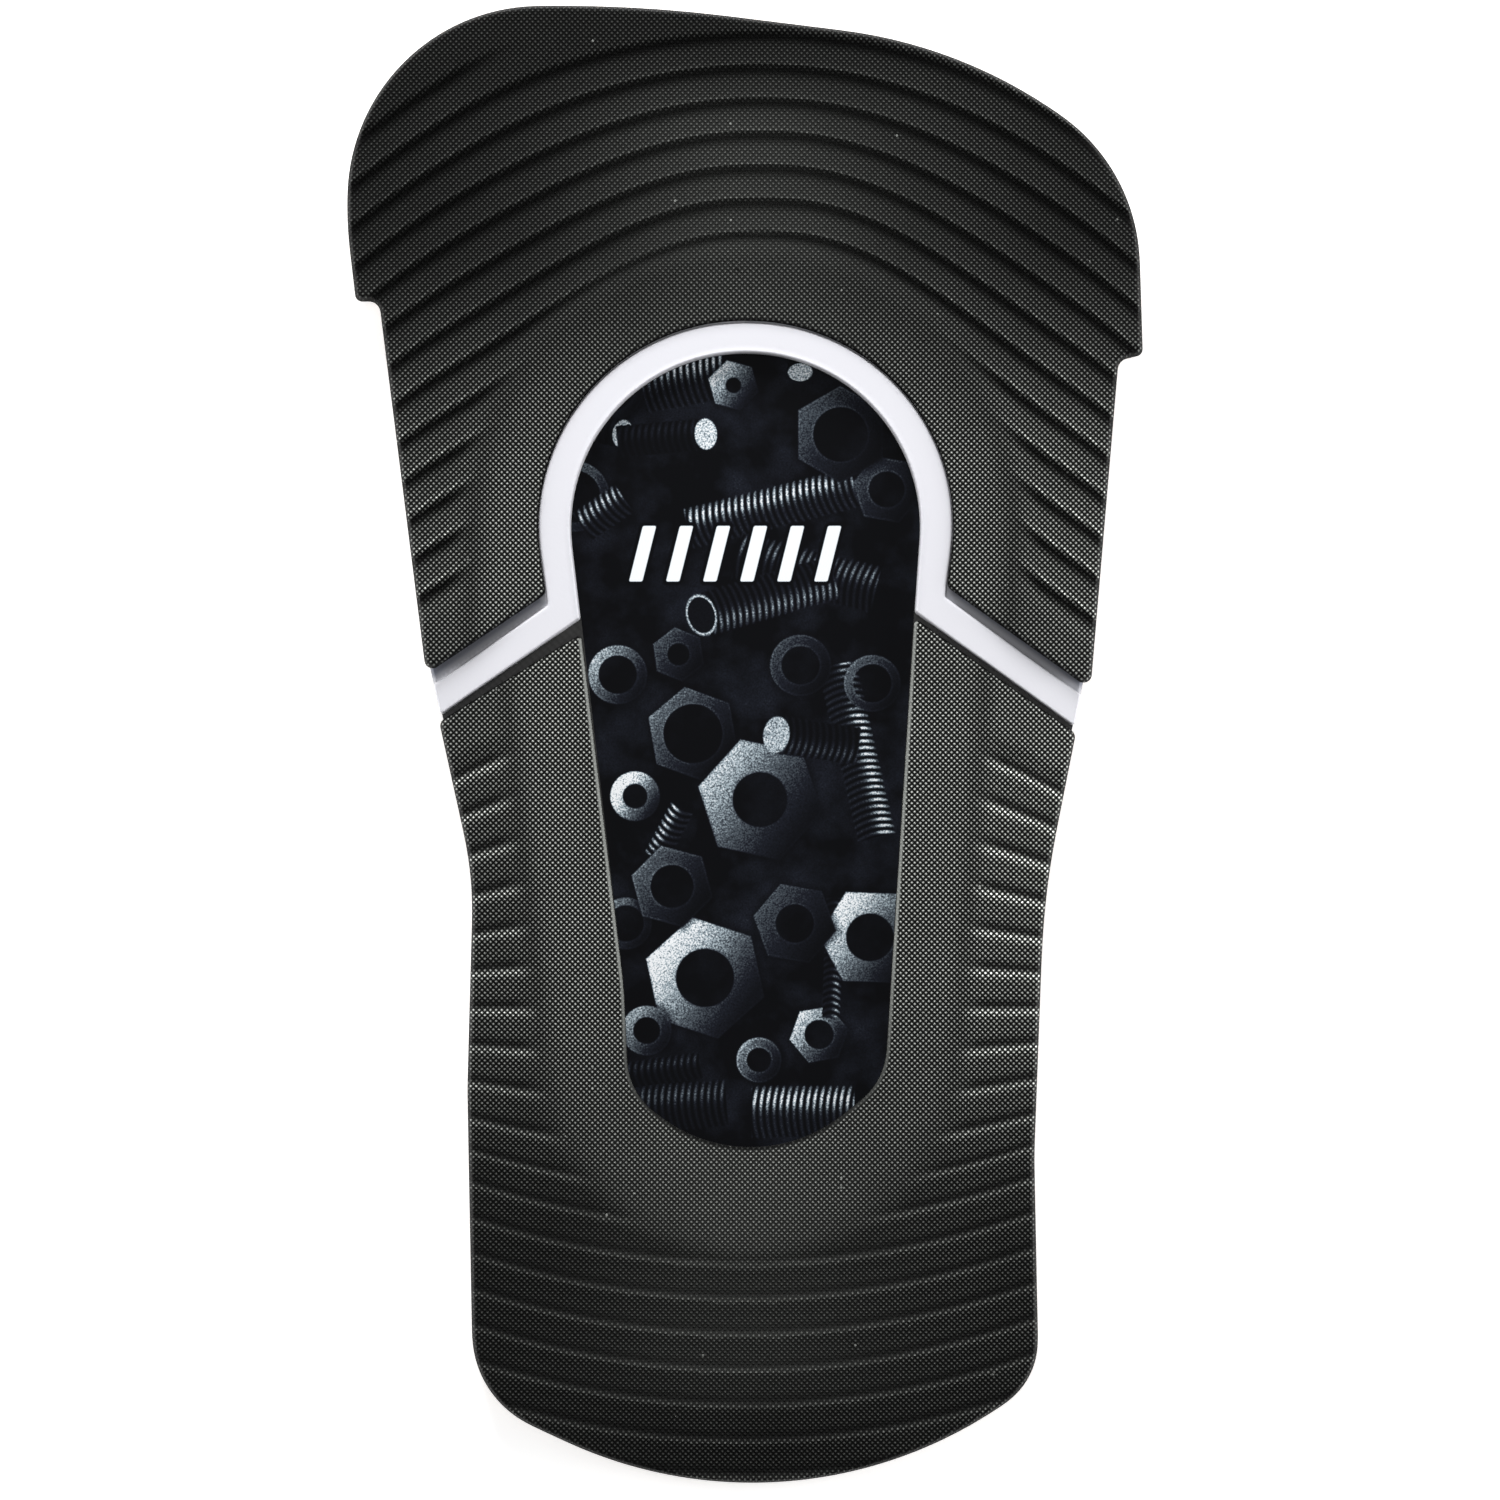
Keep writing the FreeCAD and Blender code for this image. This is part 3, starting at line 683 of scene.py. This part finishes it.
def makeDots():
    # the lattice of small moulded points, in rows at 45 degrees, seen along the mould's direction
    tree, given, result = newGroup("mouldedPoints", [("Position", "Vector", None), ("Pitch", "Float", 0.69)],
                                   [("Points", "Float"), ("Specks", "Float")])
    split = tree.nodes.new("ShaderNodeSeparateXYZ")
    tree.links.new(given["Position"], split.inputs[0])
    turn = calc(tree, "DIVIDE", 2000 * math.pi / math.sqrt(2), given["Pitch"])
    waves = []
    for operation in ("ADD", "SUBTRACT"):
        diagonal = calc(tree, operation, split.outputs["X"], split.outputs["Y"])
        wave = calc(tree, "COSINE", calc(tree, "MULTIPLY", diagonal, turn))
        waves.append(calc(tree, "MULTIPLY_ADD", wave, 0.5, 0.5))
    tree.links.new(calc(tree, "MULTIPLY", *waves), result["Points"])
    cells = tree.nodes.new("ShaderNodeTexVoronoi")
    cells.inputs["Scale"].default_value = speckLook["scale"]
    tree.links.new(given["Position"], cells.inputs["Vector"])
    near = calc(tree, "LESS_THAN", cells.outputs["Distance"], speckLook["radius"])
    colour = tree.nodes.new("ShaderNodeSeparateColor")
    tree.links.new(cells.outputs["Color"], colour.inputs[0])
    chosen = calc(tree, "GREATER_THAN", colour.outputs[0], speckLook["rarity"])
    tree.links.new(calc(tree, "MULTIPLY", near, chosen), result["Specks"])
    return tree


grainGroup = makeGrain()
dotsGroup = makeDots()

blackFoamLook = {
    "valley": 0.0008, "haze": 0.012,          # between the points, and the painted sheen that the heel's and toe's middle adds
    # lip: the colour of the painted highlight along the window's lip
    "lip": 0.34, "plainRim": 0.003,
    "rimHides": 0.9, "rimFlattens": 0.85,     # how much of the points' colour and bump the rims lose
    # how strong the painted shade at the feet and the painted highlight along the crests are
    "footShade": 0.95, "crestHighlightGain": 1.8,
    "blotch": 0.7, "blotchBase": 0.65,
    "sharpness": 1.8,                         # higher for smaller points
    "speck": 0.18, "tint": (0.98, 1.02, 0.96),
    "bump": 1.0, "bumpDepth": 0.0003, "grain": 0.3, "grainSize": 0.22,
}


def blackFoam():
    s = blackFoamLook
    material, tree, shader, position = newMaterial("black_foam", 0.75, Specular_IOR_Level=0.1)
    dots = place(tree, dotsGroup, Position=position)
    grain = place(tree, grainGroup, Position=position, GrainSize=s["grainSize"])
    rim = attribute(tree, "rim")
    kept = calc(tree, "SUBTRACT", 1.0, calc(tree, "MULTIPLY", rim, s["rimFlattens"]))
    shown = calc(tree, "MULTIPLY", dots["Points"], kept)
    height = calc(tree, "MULTIPLY_ADD", grain["Grain"], s["grain"], shown)
    blotch = calc(tree, "MULTIPLY_ADD", grain["Blotch"], s["blotch"], s["blotchBase"])
    # a painted highlight along the crests and a painted shade at the feet
    crest = calc(tree, "MULTIPLY_ADD", attribute(tree, "crest"), s["crestHighlightGain"], 1.0)
    foot = calc(tree, "SUBTRACT", 1.0, calc(tree, "MULTIPLY", attribute(tree, "paintedFootShade"), s["footShade"]))
    # the points' painted sheen
    bright = attribute(tree, "paintedPointSheen")
    for gain in (blotch, crest, foot):
        bright = calc(tree, "MULTIPLY", bright, gain)
    # a painted sheen between the points in the middle near the toe and heel
    between = calc(tree, "MULTIPLY_ADD", attribute(tree, "middleSheen"), s["haze"], s["valley"])
    tone = calc(tree, "MULTIPLY_ADD", calc(tree, "POWER", dots["Points"], s["sharpness"]), bright, between)
    # the plain rims, with a painted highlight along the window's lip
    plain = calc(tree, "MULTIPLY_ADD", attribute(tree, "windowLipHighlight"), s["lip"] - s["plainRim"], s["plainRim"])
    tone = over(tree, tone, plain, calc(tree, "MULTIPLY", rim, s["rimHides"]))
    tone = calc(tree, "MULTIPLY_ADD", dots["Specks"], s["speck"], tone)
    colour = tree.nodes.new("ShaderNodeCombineColor")
    for channel, gain in zip(colour.inputs, s["tint"]):
        tree.links.new(calc(tree, "MULTIPLY", tone, gain), channel)
    tree.links.new(colour.outputs[0], shader.inputs["Base Color"])
    bump(tree, shader, height, s["bump"], s["bumpDepth"])
    return material


whiteFoamLook = {
    "dull": (0.68, 0.68, 0.73), "pale": (0.77, 0.77, 0.81),
    # the colour of the painted shade on the groove's floor
    "paintedGrooveShade": (0.13, 0.14, 0.18),
    "blotch": 0.3, "blotchBase": 0.35,
}


def whiteFoam():
    s = whiteFoamLook
    material, tree, shader, position = newMaterial("white_foam", 0.42)
    grain = place(tree, grainGroup, Position=position, GrainSize=0.5)
    tint = calc(tree, "MULTIPLY_ADD", grain["Blotch"], s["blotch"], s["blotchBase"])
    mixed = tree.nodes.new("ShaderNodeMix")
    mixed.data_type = "RGBA"
    colourA, colourB, colourOut = mixed.inputs[6], mixed.inputs[7], mixed.outputs[2]
    # painted shade on the groove's floor between the band and the toe pad
    tree.links.new(attribute(tree, "paintedGrooveShade"), mixed.inputs["Factor"])
    tree.links.new(ramp(tree, tint, ((0.0, s["dull"]), (1.0, s["pale"]))), colourA)
    colourB.default_value = (*s["paintedGrooveShade"], 1)
    tree.links.new(colourOut, shader.inputs["Base Color"])
    bump(tree, shader, grain["Grain"], 0.12, 0.0001)
    return material


padFinish = blackFoam()
paint(toeFoam, padFinish)
paint(heelFoam, padFinish)
paint(midsoleFoam, whiteFoam())


# the printed inlay is a heap of plain bolts, nuts and washers; its places are in mm

def turned(tree, given):
    # a point's place along and across a piece that is turned about its middle
    dx = calc(tree, "SUBTRACT", given["X"], given["CentreX"])
    dy = calc(tree, "SUBTRACT", given["Y"], given["CentreY"])
    cosine = calc(tree, "COSINE", given["Turn"])
    sine = calc(tree, "SINE", given["Turn"])
    along = calc(tree, "ADD", calc(tree, "MULTIPLY", dx, cosine), calc(tree, "MULTIPLY", dy, sine))
    across = calc(tree, "SUBTRACT", calc(tree, "MULTIPLY", dy, cosine), calc(tree, "MULTIPLY", dx, sine))
    return dx, dy, along, across


def lengthOf(tree, a, b):
    return calc(tree, "SQRT", calc(tree, "ADD", calc(tree, "MULTIPLY", a, a), calc(tree, "MULTIPLY", b, b)))


def soften(tree, distance, softness):
    # 0 where the distance is negative, rising to 1 over the softness
    return calc(tree, "DIVIDE", distance, softness, clamp=True)


placing = [("Tone", "Float", 0.0), ("X", "Float", 0.0), ("Y", "Float", 0.0), ("CentreX", "Float", 0.0),
           ("CentreY", "Float", 0.0), ("Turn", "Float", 0.0)]


boltLook = {
    "threadPitch": 1.15, "threadBow": 0.7, "threadSharpness": 1.6, "threadRelief": 0.06,
    "side": 0.97, "sideSoftness": 0.08, "endSoftness": 0.3,
    "litAt": 0.5, "litFalloff": -7.0, "shade": 0.16,
    "capShare": 0.72, "cap": 0.98, "capSoftness": 0.1,
    "rimAt": 0.78, "rimSoftness": 0.06, "rimLight": 0.95, "darkEnd": 0.03,
}
ringLook = {
    "softness": 0.25, "rimWidth": 0.55,
    "lightTurn": 0.7, "lightReach": 2.2, "middleLight": 0.62, "leastLight": 0.12,
    "contrast": 1.5, "faceGain": 1.6, "shade": 0.4, "shadeWidth": 1.2,
}


def makeBolt():
    # a threaded rod lit along one side; End is 0 for none, above 0 for a bright one, below for a hollow one
    sizes = [("Length", "Float", 12.0), ("Radius", "Float", 3.0), ("Thread", "Float", 0.7),
             ("End", "Float", 0.0)]
    tree, given, result = newGroup("printedBolt", placing + sizes, [("Tone", "Float")])
    s = boltLook
    _, _, along, across = turned(tree, given)
    half = calc(tree, "MULTIPLY", given["Length"], 0.5)
    share = calc(tree, "DIVIDE", across, given["Radius"])
    square = calc(tree, "MULTIPLY", share, share)
    bow = calc(tree, "MULTIPLY", calc(tree, "SUBTRACT", 1.0, square), s["threadBow"])
    phase = calc(tree, "MULTIPLY", calc(tree, "ADD", along, bow), 2 * math.pi / s["threadPitch"])
    wave = calc(tree, "SINE", phase)
    thread = calc(tree, "POWER", calc(tree, "MULTIPLY_ADD", wave, 0.5, 0.5), s["threadSharpness"])
    relief = calc(tree, "MULTIPLY", thread, s["threadRelief"])
    ridge = calc(tree, "SUBTRACT", calc(tree, "ABSOLUTE", share), relief)
    sides = soften(tree, calc(tree, "SUBTRACT", s["side"], ridge), s["sideSoftness"])
    ends = soften(tree, calc(tree, "SUBTRACT", half, calc(tree, "ABSOLUTE", along)), s["endSoftness"])
    body = calc(tree, "MULTIPLY", sides, ends)
    lit = calc(tree, "SUBTRACT", share, s["litAt"])
    glow = calc(tree, "EXPONENT", calc(tree, "MULTIPLY", calc(tree, "MULTIPLY", lit, lit), s["litFalloff"]))
    tone = calc(tree, "MULTIPLY", calc(tree, "MULTIPLY", thread, glow), given["Thread"])
    low = calc(tree, "MULTIPLY", calc(tree, "MULTIPLY", thread, given["Thread"]), s["shade"])
    rod = over(tree, given["Tone"], calc(tree, "ADD", tone, low), body)
    capWidth = calc(tree, "MULTIPLY", given["Radius"], s["capShare"])
    cap = calc(tree, "DIVIDE", calc(tree, "SUBTRACT", along, half), capWidth)
    fromMiddle = lengthOf(tree, cap, share)
    disc = soften(tree, calc(tree, "SUBTRACT", s["cap"], fromMiddle), s["capSoftness"])
    strength = calc(tree, "ABSOLUTE", given["End"])
    wanted = calc(tree, "GREATER_THAN", strength, 0.01)
    rim = soften(tree, calc(tree, "SUBTRACT", fromMiddle, s["rimAt"]), s["rimSoftness"])
    edge = calc(tree, "MULTIPLY", rim, strength)
    filled = calc(tree, "MAXIMUM", given["End"], s["darkEnd"])
    face = calc(tree, "MAXIMUM", filled, calc(tree, "MULTIPLY", edge, s["rimLight"]))
    tree.links.new(over(tree, rod, face, calc(tree, "MULTIPLY", disc, wanted)), result["Tone"])
    return tree


def makeRing():
    # a nut or a washer: six sides where Round is 0, a circle where it is 1
    sizes = [("Radius", "Float", 6.0), ("Hole", "Float", 3.0), ("Face", "Float", 0.3), ("Rim", "Float", 0.7),
             ("Round", "Float", 0.0)]
    tree, given, result = newGroup("printedRing", placing + sizes, [("Tone", "Float")])
    s = ringLook
    dx, dy, along, across = turned(tree, given)
    sides = []
    for step in range(3):
        angle = step * math.pi / 3
        partAlong = calc(tree, "MULTIPLY", along, math.cos(angle))
        partAcross = calc(tree, "MULTIPLY", across, math.sin(angle))
        sides.append(calc(tree, "ABSOLUTE", calc(tree, "ADD", partAlong, partAcross)))
    hexagon = calc(tree, "MAXIMUM", calc(tree, "MAXIMUM", sides[0], sides[1]), sides[2])
    circle = lengthOf(tree, dx, dy)
    outer = over(tree, hexagon, circle, given["Round"])
    toEdge = calc(tree, "SUBTRACT", given["Radius"], outer)
    toHole = calc(tree, "SUBTRACT", circle, given["Hole"])
    mask = calc(tree, "MULTIPLY", soften(tree, toEdge, s["softness"]), soften(tree, toHole, s["softness"]))
    # lit from the upper left
    towards = calc(tree, "SUBTRACT", calc(tree, "MULTIPLY", dy, s["lightTurn"]), dx)
    light = calc(tree, "DIVIDE", towards, calc(tree, "MULTIPLY", given["Radius"], s["lightReach"]))
    lit = calc(tree, "MAXIMUM", calc(tree, "ADD", light, s["middleLight"]), s["leastLight"])
    face = calc(tree, "MULTIPLY", given["Face"], calc(tree, "POWER", lit, s["contrast"]))
    inwards = soften(tree, calc(tree, "MINIMUM", toEdge, toHole), s["rimWidth"])
    nearEdge = calc(tree, "SUBTRACT", 1.0, inwards)
    rim = calc(tree, "MULTIPLY", given["Rim"], lit)
    tone = over(tree, calc(tree, "MULTIPLY", face, s["faceGain"]), rim, nearEdge)
    shade = calc(tree, "MULTIPLY", given["Tone"], s["shade"])
    around = soften(tree, calc(tree, "ADD", toEdge, s["shadeWidth"]), s["shadeWidth"])
    depth = over(tree, given["Tone"], shade, around)
    tree.links.new(over(tree, depth, tone, mask), result["Tone"])
    return tree


# centre, turn in degrees, then length, radius, thread light and end light of each bolt
printedBolts = (
    ((-24.5, 40.0), 35, 9.0, 3.0, 0.75, 0.0),
    ((-10.5, 62.8), 10, 15.0, 4.6, 0.95, 0.0),
    ((-28.5, 55.2), -12, 15.0, 2.6, 0.10, 0.85),
    ((-14.5, 52.9), 5, 15.5, 2.9, 0.12, 0.90),
    ((9.3, 71.0), -88, 13.5, 2.3, 0.20, 0.85),
    ((4.6, 40.8), 14, 30.0, 3.6, 0.95, 0.0),
    ((10.6, 29.6), -14, 25.0, 4.2, 0.45, 0.0),
    ((4.0, 25.6), 196, 24.0, 3.9, 0.50, -0.80),
    ((19.3, -1.2), -77, 31.0, 3.4, 1.00, 0.0),
    ((12.6, 0.6), 172, 14.5, 3.4, 0.25, 0.75),
    ((-13.2, -15.4), 62, 10.0, 2.2, 0.90, 0.0),
    ((15.2, -37.0), -92, 21.0, 1.6, 0.60, 0.0),
    ((10.0, -63.6), 0, 18.0, 4.6, 1.00, 0.0),
    ((-10.5, -62.6), 4, 15.0, 4.2, 0.35, 0.0),
    ((-14.0, -56.4), 8, 13.0, 2.4, 0.22, 0.0),
)
# centre, turn in degrees, then radius, hole, face light, rim light and roundness of each nut and washer
printedRings = (
    ((-29.5, 42.8), 10, 6.2, 4.4, 0.40, 0.80, 1.0),
    ((-2.0, 62.0), 15, 4.0, 1.2, 0.55, 0.60, 0.0),
    ((-23.0, 61.5), 0, 5.6, 3.8, 0.35, 0.55, 1.0),
    ((16.5, 53.5), 0, 7.4, 4.6, 0.16, 0.40, 0.0),
    ((24.5, 44.0), 20, 5.4, 3.0, 0.14, 0.45, 0.0),
    ((-22.0, 12.0), 25, 5.2, 3.2, 0.40, 0.70, 1.0),
    ((-11.5, 15.5), 8, 4.2, 1.8, 0.16, 0.40, 0.0),
    ((9.6, 13.6), 0, 5.4, 3.2, 0.14, 0.42, 1.0),
    ((-9.0, 1.8), 10, 7.2, 5.0, 0.22, 0.50, 0.0),
    ((-19.0, -9.0), 0, 4.4, 2.0, 0.85, 0.95, 1.0),
    ((2.6, -9.6), 18, 9.6, 4.6, 0.42, 0.42, 0.0),
    ((-12.6, -24.6), 15, 6.4, 3.6, 0.20, 0.55, 0.0),
    ((-6.9, -40.4), 12, 9.4, 4.9, 0.62, 0.66, 0.0),
    ((21.6, -33.4), 28, 7.8, 4.0, 0.60, 0.75, 0.0),
    ((-20.6, -31.0), 0, 4.6, 3.0, 0.30, 0.50, 1.0),
    ((8.6, -31.0), 20, 6.4, 3.2, 0.16, 0.36, 0.0),
    ((12.8, -50.2), 40, 4.6, 2.4, 0.50, 0.85, 0.0),
    ((2.4, -54.6), 10, 4.0, 2.0, 0.30, 0.80, 1.0),
    ((-17.0, -49.5), 0, 4.4, 2.2, 0.40, 0.75, 1.0),
    ((22.0, 10.5), 0, 5.0, 3.2, 0.20, 0.50, 1.0),
)
# a row of plain slanted bars in the middle of the print
printedBars = {"centreX": -1.7, "centreY": 32.9, "pitch": 6.4, "count": 6, "halfHeight": 4.9,
               "halfWidth": 1.25, "slant": 0.25, "corner": 0.4, "halo": 0.7}
# the print's colours, from black ink to bare white
printInk = ((0.0, (0.0006, 0.0008, 0.0018)), (0.15, (0.009, 0.011, 0.018)), (0.4, (0.085, 0.105, 0.125)),
            (0.7, (0.40, 0.48, 0.53)), (1.0, (0.86, 0.88, 0.90)))


def printFilm():
    material, tree, shader, position = newMaterial("print_film", 0.5, Specular_IOR_Level=0.08)
    scaled = tree.nodes.new("ShaderNodeVectorMath")
    scaled.operation = "SCALE"
    scaled.inputs["Scale"].default_value = 1 / mm
    tree.links.new(position, scaled.inputs[0])
    split = tree.nodes.new("ShaderNodeSeparateXYZ")
    tree.links.new(scaled.outputs[0], split.inputs[0])
    x, y = split.outputs["X"], split.outputs["Y"]
    haze = noise(tree, scaled.outputs[0], 0.11, 3.0, 0.55)
    tone = calc(tree, "MULTIPLY", calc(tree, "SUBTRACT", haze, 0.46, clamp=True), 0.5)
    bolt = makeBolt()
    ring = makeRing()

    def drawPieces(tone, group, pieces, labels):
        for (cx, cy), turn, *values in pieces:
            tone = place(tree, group, Tone=tone, X=x, Y=y, CentreX=cx, CentreY=cy, Turn=math.radians(turn),
                         **dict(zip(labels, values)))["Tone"]
        return tone

    boltLabels = ("Length", "Radius", "Thread", "End")
    ringLabels = ("Radius", "Hole", "Face", "Rim", "Round")
    tone = drawPieces(tone, ring, printedRings[::2], ringLabels)      # every other ring lies under the bolts
    tone = drawPieces(tone, bolt, printedBolts, boltLabels)
    tone = drawPieces(tone, ring, printedRings[1::2], ringLabels)
    speckle = noise(tree, scaled.outputs[0], 3.4, 2.0, 0.7)
    grit = calc(tree, "MULTIPLY_ADD", calc(tree, "SUBTRACT", speckle, 0.5), 2.6, 0.85)
    tone = calc(tree, "MULTIPLY", tone, calc(tree, "MAXIMUM", grit, 0.1), clamp=True)
    s = printedBars
    up = calc(tree, "SUBTRACT", y, s["centreY"])
    lean = calc(tree, "MULTIPLY", up, s["slant"])
    side = calc(tree, "SUBTRACT", calc(tree, "SUBTRACT", x, s["centreX"]), lean)
    reach = s["pitch"] * s["count"] / 2
    share = calc(tree, "FRACT", calc(tree, "DIVIDE", calc(tree, "ADD", side, reach), s["pitch"]))
    cell = calc(tree, "MULTIPLY", calc(tree, "SUBTRACT", share, 0.5), s["pitch"])
    inRow = calc(tree, "LESS_THAN", calc(tree, "ABSOLUTE", side), reach)
    corner = s["corner"]
    wide = calc(tree, "SUBTRACT", calc(tree, "ABSOLUTE", cell), s["halfWidth"] - corner)
    tall = calc(tree, "SUBTRACT", calc(tree, "ABSOLUTE", up), s["halfHeight"] - corner)
    toBar = lengthOf(tree, calc(tree, "MAXIMUM", wide, 0.0), calc(tree, "MAXIMUM", tall, 0.0))
    halo = calc(tree, "MULTIPLY", soften(tree, calc(tree, "SUBTRACT", corner + s["halo"], toBar), 0.3), inRow)
    mark = calc(tree, "MULTIPLY", soften(tree, calc(tree, "SUBTRACT", corner, toBar), 0.15), inRow)
    tone = over(tree, over(tree, tone, 0.0, halo), 1.0, mark)
    tree.links.new(ramp(tree, tone, printInk), shader.inputs["Base Color"])
    bump(tree, shader, speckle, 0.05, 0.0001)
    return material


paint(nodes["print_sheet"], printFilm())


plateLook = {
    "sheet": ((0.2, (0.012, 0.012, 0.012)), (0.8, (0.03, 0.03, 0.03))),
    # the laminate is coloured near black, a painted shade in the gap at the seam
    "laminate": ((0.2, (0.003, 0.003, 0.003)), (0.8, (0.012, 0.012, 0.011))),
    "wood": ((0.3, (0.30, 0.17, 0.08)), (0.7, (0.62, 0.43, 0.26))),
    "steel": ((0.3, (0.42, 0.42, 0.43)), (0.7, (0.62, 0.62, 0.63))),
    "weave": 4200.0,
    "woodStretch": (900.0, 30.0, 900.0),
}


def blackSheet():
    material, tree, shader, position = newMaterial("base_sheet_black", 0.5)
    grain = place(tree, grainGroup, Position=position, GrainSize=0.3)
    tree.links.new(ramp(tree, grain["Grain"], plateLook["sheet"]), shader.inputs["Base Color"])
    bump(tree, shader, grain["Grain"], 0.3, 0.0002)
    return material


def glassLaminate():
    # woven glass laminate coloured near black, a painted shade where it shows in the gap at the seam
    material, tree, shader, position = newMaterial("laminate_black", 0.45, Coat_Weight=0.1)
    split = tree.nodes.new("ShaderNodeSeparateXYZ")
    tree.links.new(position, split.inputs[0])
    threads = [calc(tree, "SINE", calc(tree, "MULTIPLY", split.outputs[axis], plateLook["weave"]))
               for axis in ("X", "Y")]
    weave = calc(tree, "MULTIPLY", *threads)
    grain = place(tree, grainGroup, Position=position, GrainSize=0.6)
    mixed = calc(tree, "MULTIPLY_ADD", weave, 0.25, grain["Blotch"])
    tree.links.new(ramp(tree, mixed, plateLook["laminate"]), shader.inputs["Base Color"])
    bump(tree, shader, weave, 0.3, 0.0001)
    return material


def coreWood():
    material, tree, shader, position = newMaterial("core_wood", 0.6)
    stretched = tree.nodes.new("ShaderNodeMapping")
    stretched.inputs["Scale"].default_value = plateLook["woodStretch"]
    tree.links.new(position, stretched.inputs["Vector"])
    lines = noise(tree, stretched.outputs[0], 1.0, 4.0, 0.6)
    tree.links.new(ramp(tree, lines, plateLook["wood"]), shader.inputs["Base Color"])
    bump(tree, shader, lines, 0.25, 0.0002)
    return material


def insertSteel():
    material, tree, shader, position = newMaterial("insert_steel", 0.35, Metallic=1.0)
    grain = place(tree, grainGroup, Position=position, GrainSize=0.15)
    tree.links.new(ramp(tree, grain["Grain"], plateLook["steel"]), shader.inputs["Base Color"])
    return material


glass = glassLaminate()
for node, material in (("base_sheet", blackSheet()), ("bottom_laminate", glass), ("top_laminate", glass),
                       ("core", coreWood()), ("threaded_inserts", insertSteel())):
    paint(nodes[node], material)
print("materials ready")


studio = {
    "cameraHeight": 2.0,
    "viewX": 0.86, "viewY": -1.03, "viewWidth": 258.45,     # mm
    "world": 0.13,
    "floorSize": 6, "floorGap": 0.0002, "floorGlow": 0.6,
}
# each light's place, size and power
studioLights = {
    "toeLight": ((-0.1, 0.75, 0.36), 0.35, 9.0),
    "leftLight": ((-0.8, 0.05, 0.26), 0.4, 3.2),
    "rightLight": ((0.8, -0.05, 0.26), 0.4, 5.0),
    "topLight": ((0.0, 0.1, 1.2), 0.6, 2.0),
}


def addFloor():
    bpy.ops.mesh.primitive_plane_add(size=studio["floorSize"], location=(0, 0, -studio["floorGap"]))
    floor = bpy.context.object
    floor.name = "floor"
    material, *_ = newMaterial("floor_pale", 0.9, Base_Color=(0.95, 0.95, 0.95, 1),
                               Emission_Color=(1, 1, 1, 1), Emission_Strength=studio["floorGlow"])
    floor.data.materials.append(material)


def addLight(name, spot, size, power):
    # an area light that points at the middle of the pads
    light = bpy.data.lights.new(name, "AREA")
    light.size = size
    light.energy = power
    lamp = bpy.data.objects.new(name, light)
    lamp.location = spot
    lamp.rotation_euler = (-Vector(spot)).to_track_quat("-Z", "Y").to_euler()
    bpy.context.scene.collection.objects.link(lamp)


addFloor()
for name, (spot, size, power) in studioLights.items():
    addLight(name, spot, size, power)

world = bpy.data.worlds.new("studio")
world.use_nodes = True
world.node_tree.nodes["Background"].inputs["Color"].default_value = (1, 1, 1, 1)
world.node_tree.nodes["Background"].inputs["Strength"].default_value = studio["world"]
bpy.context.scene.world = world
bpy.context.scene.view_settings.view_transform = "Standard"

lens = bpy.data.cameras.new("camera")
camera = bpy.data.objects.new("camera", lens)
camera.location = (studio["viewX"] * mm, studio["viewY"] * mm, studio["cameraHeight"])
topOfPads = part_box("toe_pad")[1].z
lens.lens = lens.sensor_width * (studio["cameraHeight"] - topOfPads) / (studio["viewWidth"] * mm)
lens.clip_end = 20
bpy.context.scene.collection.objects.link(camera)
bpy.context.scene.camera = camera
print("floor, lights and camera ready")
